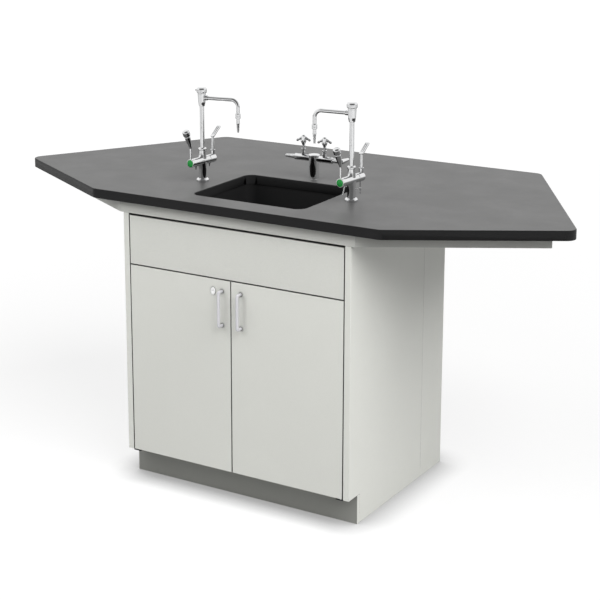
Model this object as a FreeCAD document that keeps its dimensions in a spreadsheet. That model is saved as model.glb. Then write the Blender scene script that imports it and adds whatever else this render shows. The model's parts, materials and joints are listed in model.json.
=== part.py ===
"""Island laboratory sink unit: worktop, basin, cabinet, doors, faucets and gas turret.

X runs along the front, Y towards the back, Z up. The origin is on the floor under the
middle of the unit's overall depth, pulls included. Millimetres.
"""

import FreeCAD, Part
import os
import re

import Sketcher
from FreeCAD import Placement, Rotation, Vector

SIZES = {
    # worktop
    "worktop_height": 889.0,
    "worktop_thickness": 28.0,
    "worktop_depth": 870.0,
    "side_overhang": 95.0,
    "tip_half": 927.0,
    "front_chamfer_turn": 30.0,
    "worktop_corner": 30.0,
    "worktop_arris": 2.5,
    # apron rails
    "apron_height": 35.5,
    "apron_thickness": 10.0,
    "apron_inset": 57.5,
    "apron_side_inset": 58.0,
    # cabinet
    "cabinet_width": 762.0,
    "cabinet_depth": 450.0,
    "chase_depth": 140.0,
    "front_overhang": 18.0,
    "panel": 19.0,
    "thin_panel": 8.0,
    "toe_height": 87.0,
    "toe_recess": 50.0,
    "toe_board_thickness": 15.0,
    "front_gap": 3.5,
    "false_top_gap": 6.0,
    "false_front_height": 147.0,
    "back_access_height": 83.0,
    "rail_depth": 25.0,
    "rail_flange": 2.0,
    "cross_rail_height": 40.0,
    "cross_rail_overlap": 15.5,
    "band_lip": 26.0,
    "band_lip_thickness": 6.0,
    # doors
    "door_thickness": 19.0,
    "door_gap": 3.0,
    "split_offset": -7.5,
    "door_lift": 2.0,
    "door_bead": 1.2,
    "stop_gap": 1.5,
    "pivot_inset": 5.0,
    "pivot_pin_radius": 2.5,
    "pivot_pin_depth": 20.0,
    "pivot_collar_radius": 4.2,
    "pivot_plate": 2.4,
    "pivot_plate_width": 24.0,
    "running_gap": 0.05,
    "face_gap": 0.3,
    # pulls
    "pull_centres": 101.6,
    "pull_rod": 8.0,
    "pull_projection": 24.0,
    "pull_bend": 7.0,
    "pull_spacing": 63.0,
    "pull_offset": -5.2,
    "pull_below_top": 83.5,
    # catches
    "catch_width": 40.0,
    "catch_height": 16.0,
    "catch_depth": 18.0,
    "catch_from_middle": 36.0,
    # cam lock
    "lock_from_middle": 67.0,
    "lock_below_top": 36.0,
    "lock_face_width": 15.0,
    "lock_face_height": 22.5,
    "lock_face_proud": 2.0,
    "lock_barrel_radius": 7.0,
    "lock_plug_radius": 4.8,
    "lock_key_width": 1.6,
    "lock_key_height": 6.0,
    "lock_key_depth": 8.0,
    "cam_length": 42.0,
    "cam_width": 12.0,
    "cam_thickness": 2.5,
    # basin
    "sink_length": 375.0,
    "sink_width": 316.0,
    "sink_setback": 85.0,
    "sink_corner": 30.0,
    "sink_depth": 200.0,
    "sink_wall": 10.0,
    "sink_reveal": 2.0,
    "sink_rim": 16.0,
    "sink_rim_height": 12.0,
    "sink_cove": 18.0,
    "support_bar": 28.0,
    "support_wall": 3.0,
    "support_inset": 60.0,
    # sink outlet
    "outlet_flange_radius": 36.0,
    "outlet_flange_height": 3.0,
    "outlet_barrel_radius": 25.0,
    "outlet_length": 46.0,
    "strainer_thickness": 3.0,
    "strainer_hole_radius": 3.5,
    "strainer_ring_radius": 10.5,
    "strainer_holes": 6.0,
    "tailpiece_radius": 19.05,
    "tailpiece_wall": 1.6,
    "tailpiece_length": 120.0,
    "tailpiece_overlap": 26.0,
    # fixtures on the worktop
    "faucet_from_sink": 66.5,
    "faucet_setback": 248.0,
    "faucet_turn": -5.5,
    "turret_side": 14.5,
    "turret_setback": 450.0,
    "fixture_hole_radius": 12.5,
    "shank_radius": 10.0,
    "shank_drop": 42.0,
    "nut_flats": 34.0,
    "nut_height": 9.0,
    "outlet_nut_flats": 62.0,
    "hole_clearance": 1.0,
    # faucet column and cross body
    "flange_radius": 18.8,
    "flange_height": 9.0,
    "column_radius": 12.0,
    "cross_height": 63.0,
    "cross_radius": 12.6,
    "cross_front": 51.0,
    "cross_rear": 57.5,
    "cross_cap": 5.0,
    "flare_low": 34.0,
    "flare_high": 88.0,
    "flare_half_length": 22.0,
    "flare_step": 0.3,
    "boss_radius": 10.8,
    "boss_top": 95.0,
    "swivel_nut_radius": 12.8,
    "swivel_nut_height": 7.0,
    "stop_screw_radius": 3.2,
    "stop_screw_drop": 12.0,
    "stop_screw_offset": 32.0,
    "drip_stem_offset": 45.0,
    "drip_stem_radius": 1.6,
    "drip_stem_drop": 20.0,
    "drip_cone_radius": 2.9,
    "drip_cone_length": 17.0,
    "drain_rod_tilt": 22.0,
    "drain_rod_length": 30.0,
    # riser, vacuum breaker and spout
    "riser_radius": 6.85,
    "riser_bore": 4.6,
    "riser_socket": 16.0,
    "breaker_bottom": 229.0,
    "breaker_top": 269.0,
    "breaker_radius": 12.4,
    "breaker_foot_radius": 9.2,
    "cap_radius": 15.8,
    "cap_height": 16.0,
    "cap_slots": 6.0,
    "cap_screw_radius": 1.9,
    "cap_screw_proud": 4.5,
    "cap_screw_turn": 212.0,
    "vent_radius": 4.6,
    "vent_depth": 5.0,
    "vent_turn": -40.0,
    "spout_height": 254.0,
    "spout_radius": 5.9,
    "spout_bore": 4.4,
    "spout_reach": 117.0,
    "spout_bend": 21.0,
    "spout_union_radius": 7.6,
    "spout_union_length": 7.0,
    "nozzle_top_drop": 40.0,
    "collar_radius": 8.0,
    "collar_length": 16.0,
    "nozzle_length": 57.0,
    "neck_radius": 5.3,
    "neck_length": 12.0,
    "neck_ring_radius": 6.4,
    "neck_ring_height": 2.0,
    "nozzle_root_radius": 4.9,
    "nozzle_tip_radius": 3.2,
    "nozzle_bore": 2.0,
    "left_spout_turn": 9.0,
    "right_spout_turn": 184.0,
    # levers
    "lever_hub_radius": 12.9,
    "lever_hub_length": 7.0,
    "spigot_radius": 8.0,
    "spigot_length": 4.0,
    "index_radius": 11.2,
    "index_thickness": 2.0,
    "lever_rod_radius": 2.7,
    "lever_rod_top": 47.0,
    "grip_tilt": 22.0,
    "grip_length": 50.0,
    "grip_foot_radius": 3.4,
    "grip_belly_radius": 7.8,
    "grip_head_radius": 11.4,
    "bonnet_setback": 49.0,
    "bonnet_radius": 6.6,
    "bonnet_top": 89.0,
    "blade_rod_radius": 4.4,
    "blade_rod_top": 131.0,
    "blade_tilt": 50.0,
    "blade_length": 45.0,
    "blade_width": 14.5,
    "blade_thickness": 3.2,
    "blade_slot_width": 2.2,
    # gas turret
    "post_radius": 15.7,
    "post_top": 68.0,
    "post_disc_radius": 18.2,
    "post_disc_height": 6.5,
    "arm_height": 62.0,
    "arm_flats": 17.5,
    "arm_reach": 66.0,
    "gas_bonnet_offset": 36.5,
    "gas_bonnet_radius": 6.4,
    "gas_bonnet_top": 99.0,
    "gas_hub_radius": 8.6,
    "gas_hub_height": 32.0,
    "gas_arm_radius": 2.9,
    "gas_ball_radius": 4.0,
    "gas_handle_radius": 18.5,
    "gas_arm_droop": 30.0,
    "hose_root_radius": 7.0,
    "hose_tip_radius": 4.4,
    "hose_length": 32.0,
    "hose_bore": 2.6,
    "elbow_reach": 30.0,
    "elbow_radius": 7.6,
}

PIVOT_COLLAR_PLAY = 0.1
BARBS = 6
BARB_STEP = 0.5
GAS_ARMS = 4
RIGHT_ANGLE = 90

doc = FreeCAD.newDocument("laboratory_sink_unit")
sheet = doc.addObject("Spreadsheet::Sheet", "Sizes")
for row, (alias, size) in enumerate(SIZES.items(), 1):
    sheet.set(f"A{row}", alias)
    sheet.set(f"B{row}", str(size))
    sheet.setAlias(f"B{row}", alias)
doc.recompute()

ALIAS = re.compile(r"\b(" + "|".join(sorted(SIZES, key=len, reverse=True)) + r")\b")
nodes = []


# ---------------------------------------------------------------- helpers


def cells(text):
    """The expression with each size's name pointed at its cell."""
    return ALIAS.sub(r"Sizes.\1", str(text))


def value(text):
    """What an expression over the sheet comes to."""
    return float(sheet.evalExpression(cells(text)))


def bind(thing, **sizes):
    """Bind properties to expressions over the sheet."""
    for name, text in sizes.items():
        thing.setExpression(name, cells(text))
    return thing


def place(thing, x="0", y="0", z="0", axis=(0, 0, 1), turn=None):
    """Bind an object's place, and its turn about an axis in degrees."""
    if turn is not None:
        thing.Placement = Placement(Vector(), Rotation(Vector(*axis), 1))
        thing.setExpression("Placement.Rotation.Angle", cells(turn))
    for letter, text in zip("xyz", (x, y, z)):
        thing.setExpression(f"Placement.Base.{letter}", cells(text))
    return thing


def node(thing, name):
    """Name a finished sub-part and list it for export."""
    thing.Label = name
    nodes.append(thing)
    return thing


def box(corner, size):
    """A bound box from its lowest corner and its three lengths."""
    thing = bind(doc.addObject("Part::Box", "Box"), Length=size[0], Width=size[1], Height=size[2])
    return place(thing, *corner)


def rod(radius, length, foot=("0", "0", "0"), axis=(0, 0, 1), turn=None):
    """A bound cylinder standing on its foot, turned about an axis."""
    thing = bind(doc.addObject("Part::Cylinder", "Rod"), Radius=radius, Height=length)
    return place(thing, *foot, axis=axis, turn=turn)


def cone(low, high, length, foot=("0", "0", "0"), axis=(0, 0, 1), turn=None):
    """A bound truncated cone standing on its foot."""
    thing = bind(doc.addObject("Part::Cone", "Cone"), Radius1=low, Radius2=high, Height=length)
    return place(thing, *foot, axis=axis, turn=turn)


def ball(radius, centre):
    """A bound sphere."""
    return place(bind(doc.addObject("Part::Sphere", "Ball"), Radius=radius), *centre)


def prism(flats, length, foot=("0", "0", "0"), axis=(0, 0, 1), turn=None):
    """A bound hexagonal bar, measured across its flats."""
    thing = doc.addObject("Part::Prism", "Hexagon")
    thing.Polygon = 6
    bind(thing, Circumradius=f"({flats}) / 2 / cos(30)", Height=length)
    return place(thing, *foot, axis=axis, turn=turn)


def fuse(*things):
    """All the solids joined into one."""
    thing = doc.addObject("Part::MultiFuse", "Joined")
    thing.Shapes = list(things)
    thing.Refine = True
    return thing


def cut(base, *tools):
    """The base less its tools."""
    thing = doc.addObject("Part::Cut", "Cut")
    thing.Base = base
    thing.Tool = tools[0] if len(tools) == 1 else fuse(*tools)
    thing.Refine = True
    return thing


def group(*things):
    """Separate solids that share one node."""
    thing = doc.addObject("Part::Compound", "Group")
    thing.Links = list(things)
    return thing


def new_body():
    """An empty body."""
    return doc.addObject("PartDesign::Body", "Body")


def new_sketch(body, role, lift="0"):
    """A sketch on one of a body's origin planes, lifted off it along its normal."""
    sketch = body.newObject("Sketcher::SketchObject", "Sketch")
    origin = next(item for item in body.Origin.OriginFeatures if item.Role == role)
    sketch.AttachmentSupport = (origin, [""])
    sketch.MapMode = "FlatFace"
    if lift != "0":
        sketch.setExpression("AttachmentOffset.Base.z", cells(lift))
    return sketch


def pin_point(sketch, curve, end, x, y):
    """Hold one point of a sketch at two bound distances from its origin."""
    for kind, text, axis in (("DistanceX", x, -2), ("DistanceY", y, -1)):
        if str(text) == "0":
            sketch.addConstraint(Sketcher.Constraint("PointOnObject", curve, end, axis))
            continue
        rule = Sketcher.Constraint(kind, -1, 1, curve, end, value(text))
        number = sketch.addConstraint(rule)
        sketch.setExpression(f"Constraints[{number}]", cells(text))


def outline(sketch, points):
    """A closed outline of straight runs, each corner bound to the sheet."""
    first = sketch.GeometryCount
    corners = [Vector(value(x), value(y), 0) for x, y in points]
    for start, end in zip(corners, corners[1:] + corners[:1]):
        sketch.addGeometry(Part.LineSegment(start, end), False)
    for index, (x, y) in enumerate(points):
        after = first + (index + 1) % len(points)
        sketch.addConstraint(Sketcher.Constraint("Coincident", first + index, 2, after, 1))
        pin_point(sketch, first + index, 1, x, y)
    return sketch


def circle(sketch, x, y, radius):
    """A circle with a bound centre and radius."""
    centre = Vector(value(x), value(y), 0)
    number = sketch.addGeometry(Part.Circle(centre, Vector(0, 0, 1), value(radius)), False)
    pin_point(sketch, number, 3, x, y)
    rule = sketch.addConstraint(Sketcher.Constraint("Radius", number, value(radius)))
    sketch.setExpression(f"Constraints[{rule}]", cells(radius))
    return sketch


def rectangle(x0, y0, x1, y1):
    """The four corners of a rectangle."""
    return [(x0, y0), (x1, y0), (x1, y1), (x0, y1)]


def pad(body, sketch, length, backwards=False):
    """Pad a sketch by a bound length."""
    feature = body.newObject("PartDesign::Pad", "Pad")
    feature.Profile = sketch
    feature.Reversed = backwards
    return bind(feature, Length=length)


def pocket(body, sketch, depth=None, backwards=False):
    """Pocket a sketch to a bound depth, or right through both ways."""
    feature = body.newObject("PartDesign::Pocket", "Pocket")
    feature.Profile = sketch
    feature.Reversed = backwards
    if depth is None:
        feature.Type = "ThroughAll"
        feature.SideType = "Symmetric"
        return feature
    return bind(feature, Length=depth)


def fillet(body, radius, chosen):
    """Round the edges of the body's last feature that a test chooses."""
    doc.recompute()
    base = body.Tip
    names = [f"Edge{number}" for number, edge in enumerate(base.Shape.Edges, 1) if chosen(edge)]
    feature = body.newObject("PartDesign::Fillet", "Round")
    feature.Base = (base, names)
    return bind(feature, Radius=radius)


def upright(edge):
    """Whether an edge is a straight vertical one."""
    start, end = edge.Vertexes[0].Point, edge.Vertexes[-1].Point
    return len(edge.Vertexes) == 2 and (end - start).cross(Vector(0, 0, 1)).Length < 1e-6


def at_height(level):
    """A test for edges that lie at one height in their body's own frame."""

    def test(edge):
        reach = edge.BoundBox
        return abs(reach.ZMin - level) < 1e-4 and abs(reach.ZMax - level) < 1e-4

    return test


def turned(points):
    """A body of revolution about its own Z axis from (radius, height) corners."""
    body = new_body()
    sketch = outline(new_sketch(body, "XZ_Plane"), points)
    feature = body.newObject("PartDesign::Revolution", "Revolution")
    feature.Profile = sketch
    feature.ReferenceAxis = (sketch, ["V_Axis"])
    feature.Angle = 360
    return body


def slab(role, points, length, backwards=False):
    """A body padded from one straight-sided outline."""
    body = new_body()
    pad(body, outline(new_sketch(body, role), points), length, backwards)
    return body


def barbed(root, tip, length, bore):
    """Corners of a serrated hose end standing on z = 0, pointing up, with its bore."""
    corners = [(bore, "0"), (root, "0")]
    for barb in range(BARBS):
        share = f"({root} + ({tip} - {root}) * {barb + 1} / {BARBS})"
        start = f"{length} * {barb} / {BARBS}"
        end = f"{length} * {barb + 1} / {BARBS}"
        corners.append((f"{share} + {BARB_STEP if barb else 0}", f"{start} + 0.4 * {length} / {BARBS}"))
        corners.append((share, end))
    corners.append((bore, length))
    return corners


# ---------------------------------------------------------------- shared places

WORKTOP_Y = "(pull_projection - front_overhang) / 2"
WORKTOP_FRONT = f"({WORKTOP_Y} - worktop_depth / 2)"
FRONT_HALF = "(cabinet_width / 2 + side_overhang)"
UNDER_TOP = "(worktop_height - worktop_thickness)"
CABINET_FRONT = f"({WORKTOP_FRONT} + front_overhang)"
INSIDE_HALF = "(cabinet_width / 2 - panel)"
SEAM_Y = f"({CABINET_FRONT} + cabinet_depth)"
CHASE_BACK = f"({SEAM_Y} + chase_depth)"
TOE_FACE = f"({CABINET_FRONT} + toe_recess)"
APRON_BOTTOM = f"({UNDER_TOP} - apron_height)"
APRON_BACK = f"({CABINET_FRONT} + apron_thickness)"
FALSE_TOP = f"({APRON_BOTTOM} - false_top_gap)"
FALSE_BOTTOM = f"({FALSE_TOP} - false_front_height)"
DOOR_TOP = f"({FALSE_BOTTOM} - front_gap)"
DOOR_BOTTOM = "(toe_height + door_lift)"
DOOR_BACK = f"({CABINET_FRONT} + door_thickness)"
STOP_FACE = f"({DOOR_BACK} + stop_gap)"
CROSS_BOTTOM = f"({DOOR_TOP} - cross_rail_overlap)"
CROSS_TOP = f"({CROSS_BOTTOM} + cross_rail_height)"
DOOR_WIDTH = f"({INSIDE_HALF} - door_gap * 1.5)"
PIVOT_X = f"({INSIDE_HALF} - door_gap - pivot_inset)"
PIVOT_Y = f"({CABINET_FRONT} + pivot_inset)"
SINK_FRONT = f"({WORKTOP_FRONT} + sink_setback)"
SINK_MIDDLE = f"({SINK_FRONT} + sink_width / 2)"
SINK_FLOOR = f"({UNDER_TOP} - sink_depth)"
SINK_UNDER = f"({SINK_FLOOR} - sink_wall)"
FAUCET_X = "(sink_length / 2 + faucet_from_sink)"
FAUCET_Y = f"({WORKTOP_FRONT} + faucet_setback)"
TURRET_Y = f"({WORKTOP_FRONT} + turret_setback)"


def hexagon(front, inset, side_inset):
    """The worktop's six corners moved inwards, the front and side edges by their own amounts."""
    turn = "front_chamfer_turn"
    tip_y = f"({WORKTOP_FRONT} + (tip_half - {FRONT_HALF}) * tan({turn}))"
    back_y = f"({WORKTOP_FRONT} + worktop_depth - ({inset}))"
    front_x = f"({FRONT_HALF} + (({front}) * cos({turn}) - ({inset})) / sin({turn}))"
    side_x = f"(tip_half - ({inset}) * sin({turn}) - ({side_inset}) * cos({turn}))"
    side_y = f"({tip_y} + ({inset}) * cos({turn}) - ({side_inset}) * sin({turn}))"
    back_x = f"(tip_half + (sin({turn}) * ({tip_y} - {back_y}) - ({side_inset})) / cos({turn}))"
    right = [(front_x, f"({WORKTOP_FRONT} + {front})"), (side_x, side_y), (back_x, back_y)]
    left = [(f"-{x}", y) for x, y in reversed(right)]
    return right + left


# ---------------------------------------------------------------- worktop and apron


def make_worktop():
    """Six-sided slab with the basin cut-out and a hole for each fixture."""
    body = new_body()
    pad(body, outline(new_sketch(body, "XY_Plane"), hexagon("0", "0", "0")), "worktop_thickness")
    fillet(body, "worktop_corner", upright)
    half = "sink_length / 2"
    opening = rectangle(f"-{half}", SINK_FRONT, half, f"{SINK_FRONT} + sink_width")
    pocket(body, outline(new_sketch(body, "XY_Plane"), opening))
    reach = value("sink_length / 2") + 1
    fillet(body, "sink_corner", lambda edge: upright(edge) and abs(edge.BoundBox.XMax) < reach)
    fillet(body, "worktop_arris", at_height(value("worktop_thickness")))
    holes = new_sketch(body, "XY_Plane")
    for x in (f"-{FAUCET_X}", FAUCET_X):
        circle(holes, x, FAUCET_Y, "fixture_hole_radius")
    circle(holes, "turret_side", TURRET_Y, "fixture_hole_radius")
    pocket(body, holes)
    node(place(body, z=UNDER_TOP), "worktop")


def make_apron():
    """Mitred rails set in from the worktop's six edges, flush with the cabinet at the front."""
    front = "front_overhang"
    outer = hexagon(front, "apron_inset", "apron_side_inset")
    deeper = [f"{inset} + apron_thickness" for inset in (front, "apron_inset", "apron_side_inset")]
    inner = hexagon(*deeper)
    names = ("front_right", "side_right", "back", "side_left", "front_left", "front")
    for index, name in enumerate(names):
        after = (index + 1) % len(outer)
        corners = [outer[index], outer[after], inner[after], inner[index]]
        body = slab("XY_Plane", corners, "apron_height")
        node(place(body, z=APRON_BOTTOM), f"apron_{name}")


# ---------------------------------------------------------------- cabinet


def make_side_panel(side, inner_x):
    """Cabinet end, notched at the foot for the toe space and at the top for the front apron."""
    notch_y = f"{TOE_FACE} + toe_board_thickness"
    corners = [(notch_y, "0"), (SEAM_Y, "0"), (SEAM_Y, UNDER_TOP), (APRON_BACK, UNDER_TOP)]
    corners += [(APRON_BACK, APRON_BOTTOM), (CABINET_FRONT, APRON_BOTTOM)]
    corners += [(CABINET_FRONT, "toe_height"), (notch_y, "toe_height")]
    node(place(slab("YZ_Plane", corners, "panel"), x=inner_x), f"{side}_side_panel")


def make_cabinet():
    """Panels and rails of the cabinet and of the service chase behind it."""
    outer_half = "cabinet_width / 2"
    for side, inner_x in (("left", f"-{outer_half}"), ("right", INSIDE_HALF)):
        make_side_panel(side, inner_x)
        chase = box((inner_x, SEAM_Y, "0"), ("panel", "chase_depth", UNDER_TOP))
        node(chase, f"{side}_chase_panel")
    inside = f"2 * {INSIDE_HALF}"
    left = f"-{INSIDE_HALF}"
    back = box((left, f"{CHASE_BACK} - panel", "0"), (inside, "panel", UNDER_TOP))
    node(back, "chase_back_panel")
    floor_depth = f"{SEAM_Y} - {STOP_FACE}"
    node(box((left, STOP_FACE, "toe_height"), (inside, floor_depth, "panel")), "cabinet_floor")
    toe = box((f"-{outer_half}", TOE_FACE, "0"), ("cabinet_width", "toe_board_thickness", "toe_height"))
    node(toe, "toe_board")
    access_height = f"{UNDER_TOP} - back_access_height - toe_height - panel"
    access_corner = (left, f"{SEAM_Y} - thin_panel", "toe_height + panel")
    node(box(access_corner, (inside, "thin_panel", access_height)), "inner_back_panel")
    rear_y = f"{SEAM_Y} + thin_panel"
    rear = box((left, rear_y, APRON_BOTTOM), (inside, "panel", "apron_height"))
    node(rear, "rear_rail")


def make_front_rails():
    """Top rail behind the front apron, and the channel that stops the doors."""
    left = f"-{INSIDE_HALF}"
    inside = f"2 * {INSIDE_HALF}"
    band = box((left, APRON_BACK, APRON_BOTTOM), (inside, "rail_depth", "apron_height"))
    lip_bottom = f"{APRON_BOTTOM} - band_lip"
    lip = box((left, DOOR_BACK, lip_bottom), (inside, "band_lip_thickness", "band_lip"))
    node(fuse(band, lip), "front_top_rail")
    flange = box((left, STOP_FACE, CROSS_BOTTOM), (inside, "rail_flange", "cross_rail_height"))
    web_bottom = f"{CROSS_TOP} - rail_flange"
    web = box((left, STOP_FACE, web_bottom), (inside, "rail_depth", "rail_flange"))
    node(fuse(flange, web), "cross_rail")


def make_false_front():
    """Fixed panel in front of the basin, hung on the top rail's lip."""
    half = f"({INSIDE_HALF} - door_gap)"
    corners = rectangle(f"-{half}", CABINET_FRONT, half, DOOR_BACK)
    body = slab("XY_Plane", corners, "false_front_height")
    front = value(CABINET_FRONT)
    fillet(body, "door_bead", lambda edge: edge.BoundBox.YMax < front + 1e-4)
    node(place(body, z=FALSE_BOTTOM), "false_front")


# ---------------------------------------------------------------- doors


def make_door(side, sign):
    """Inset door about its pivot axis, with pin holes, and the lock's hole on the left."""
    body = new_body()
    inner = f"{sign} * ({DOOR_WIDTH} - pivot_inset) + split_offset"
    outer = f"{-sign} * pivot_inset"
    height = f"{DOOR_TOP} - {DOOR_BOTTOM}"
    corners = rectangle(outer, "-pivot_inset", inner, "door_thickness - pivot_inset")
    pad(body, outline(new_sketch(body, "XY_Plane"), corners), height)
    front = -value("pivot_inset")
    fillet(body, "door_bead", lambda edge: edge.BoundBox.YMax < front + 1e-4)
    foot_hole = circle(new_sketch(body, "XY_Plane"), "0", "0", "pivot_pin_radius")
    pocket(body, foot_hole, "pivot_pin_depth", backwards=True)
    head_hole = circle(new_sketch(body, "XY_Plane", height), "0", "0", "pivot_pin_radius")
    pocket(body, head_hole, "pivot_pin_depth")
    if side == "left":
        lock_hole = new_sketch(body, "XZ_Plane")
        circle(lock_hole, f"{LOCK_X} + {PIVOT_X}", f"{LOCK_Z} - {DOOR_BOTTOM}", "lock_barrel_radius")
        pocket(body, lock_hole)
    node(place(body, f"{-sign} * {PIVOT_X}", PIVOT_Y, DOOR_BOTTOM), f"{side}_door_panel")


# a quarter bend's own X and Y axes, for the upper and the lower end of a pull
BEND_FACING = {
    1: Rotation(Vector(0, -1, 0), Vector(0, 0, 1), Vector(-1, 0, 0), "XYZ"),
    -1: Rotation(Vector(0, -1, 0), Vector(0, 0, -1), Vector(1, 0, 0), "XYZ"),
}


def make_pull(side, sign):
    """Bent-rod pull: a bar, two quarter bends and two legs that meet the door."""
    x = f"{-sign} * pull_spacing / 2 + pull_offset"
    middle_z = f"({DOOR_TOP} - pull_below_top)"
    bar_y = f"({CABINET_FRONT} - pull_projection + pull_rod / 2)"
    radius = "pull_rod / 2"
    straight = "(pull_centres - 2 * pull_bend)"
    parts = [rod(radius, straight, (x, bar_y, f"{middle_z} - {straight} / 2"))]
    leg = "pull_projection - pull_rod / 2 - pull_bend"
    for end in (1, -1):
        bend = doc.addObject("Part::Torus", "Bend")
        bend.Angle3 = RIGHT_ANGLE
        bind(bend, Radius1="pull_bend", Radius2=radius)
        bend.Placement = Placement(Vector(), BEND_FACING[end])
        place(bend, x, f"{bar_y} + pull_bend", f"{middle_z} + {end} * {straight} / 2")
        foot = (x, CABINET_FRONT, f"{middle_z} + {end} * pull_centres / 2")
        parts += [bend, rod(radius, leg, foot, (1, 0, 0), RIGHT_ANGLE)]
    node(fuse(*parts), f"{side}_pull")


def make_pivots(side, sign):
    """Pins in the door's ends, each with a collar, and the plates that they turn in."""
    x = f"{-sign} * {PIVOT_X}"
    plate_gap = f"(door_lift - {PIVOT_COLLAR_PLAY})"
    collared = [
        ("0", "-pivot_pin_depth"),
        ("pivot_pin_radius", "-pivot_pin_depth"),
        ("pivot_pin_radius", "0"),
        ("pivot_collar_radius", "0"),
        ("pivot_collar_radius", plate_gap),
        ("pivot_pin_radius", plate_gap),
        ("pivot_pin_radius", "door_lift + pivot_plate"),
        ("0", "door_lift + pivot_plate"),
    ]
    foot = place(turned(collared), x, PIVOT_Y, DOOR_BOTTOM, axis=(1, 0, 0), turn=2 * RIGHT_ANGLE)
    head = rod("pivot_pin_radius", f"pivot_pin_depth + front_gap - {PIVOT_COLLAR_PLAY}",
               (x, PIVOT_Y, f"{DOOR_TOP} - pivot_pin_depth"))
    node(group(foot, head), f"{side}_hinge_pins")


def pivot_plate(sign, low_z, back_y):
    """One fixed plate with the bore that a pin turns in."""
    x = f"({-sign} * {PIVOT_X})"
    corner = (f"{x} - pivot_plate_width / 2 + {sign} * 4", f"{CABINET_FRONT} + 1", low_z)
    plate = box(corner, ("pivot_plate_width", f"{back_y} - {CABINET_FRONT} - 1", "pivot_plate"))
    bore = rod("pivot_pin_radius + running_gap", "3 * pivot_plate", (x, PIVOT_Y, f"{low_z} - pivot_plate"))
    return cut(plate, bore)


def make_door_fittings():
    """Fixed pivot plates and the two magnetic catches."""
    plates = []
    for sign in (1, -1):
        plates.append(pivot_plate(sign, "toe_height - pivot_plate", TOE_FACE))
        plates.append(pivot_plate(sign, f"{FALSE_BOTTOM} - pivot_plate", STOP_FACE))
    node(group(*plates), "door_pivots")
    catches = []
    for sign in (1, -1):
        x = f"{sign} * catch_from_middle - catch_width / 2"
        face = box((x, f"{DOOR_BACK} + face_gap", f"{CROSS_BOTTOM} - catch_height"),
                   ("catch_width", "catch_depth", "catch_height"))
        ear_y = f"{STOP_FACE} + rail_flange"
        ear_depth = f"{DOOR_BACK} + face_gap + catch_depth - {STOP_FACE} - rail_flange"
        ear = box((x, ear_y, CROSS_BOTTOM), ("catch_width", ear_depth, "catch_height"))
        catches.append(fuse(face, ear))
    node(group(*catches), "door_catches")


LOCK_X = "(-lock_from_middle)"
LOCK_Z = f"({DOOR_TOP} - lock_below_top)"
CAM_Y = f"({STOP_FACE} + rail_flange + stop_gap)"


def make_lock():
    """Cam lock: fixed housing with an oval face, turning plug with a keyway, and the cam."""
    at_lock = (LOCK_X, f"{CABINET_FRONT} - lock_face_proud", LOCK_Z)
    barrel_length = f"lock_face_proud + {CAM_Y} - {CABINET_FRONT}"
    barrel = rod("lock_barrel_radius", barrel_length, at_lock, (1, 0, 0), -RIGHT_ANGLE)
    face = doc.addObject("Part::Ellipse", "Oval")
    bind(face, MajorRadius="lock_face_height / 2", MinorRadius="lock_face_width / 2")
    face.Placement = Placement(Vector(), Rotation(Vector(1, 0, 0), RIGHT_ANGLE)
                               * Rotation(Vector(0, 0, 1), RIGHT_ANGLE))
    place(face, LOCK_X, CABINET_FRONT, LOCK_Z)
    oval = doc.addObject("Part::Extrusion", "OvalFace")
    oval.Base = face
    oval.DirMode = "Custom"
    oval.Dir = Vector(0, -1, 0)
    oval.Solid = True
    bind(oval, LengthFwd="lock_face_proud")
    bore = rod("lock_plug_radius + running_gap", f"{barrel_length} + 2",
               (LOCK_X, f"{CABINET_FRONT} - lock_face_proud - 1", LOCK_Z), (1, 0, 0), -RIGHT_ANGLE)
    node(cut(fuse(barrel, oval), bore), "lock_housing")
    plug = rod("lock_plug_radius", f"{barrel_length} + running_gap", at_lock, (1, 0, 0), -RIGHT_ANGLE)
    key_corner = (f"{LOCK_X} - lock_key_height / 2", f"{CABINET_FRONT} - lock_face_proud - 1",
                  f"{LOCK_Z} - lock_key_width / 2")
    keyway = box(key_corner, ("lock_key_height", "lock_key_depth", "lock_key_width"))
    node(cut(plug, keyway), "lock_plug")
    reach = "cam_length - cam_width / 2"
    cam_y = f"{CAM_Y} + running_gap"
    arm_corner = (f"{LOCK_X} - ({reach})", cam_y, f"{LOCK_Z} - cam_width / 2")
    arm = box(arm_corner, (reach, "cam_thickness", "cam_width"))
    ends = [rod("cam_width / 2", "cam_thickness", (x, cam_y, LOCK_Z), (1, 0, 0), -RIGHT_ANGLE)
            for x in (LOCK_X, f"{LOCK_X} - ({reach})")]
    node(fuse(arm, *ends), "lock_cam")


# ---------------------------------------------------------------- basin and drain


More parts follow.
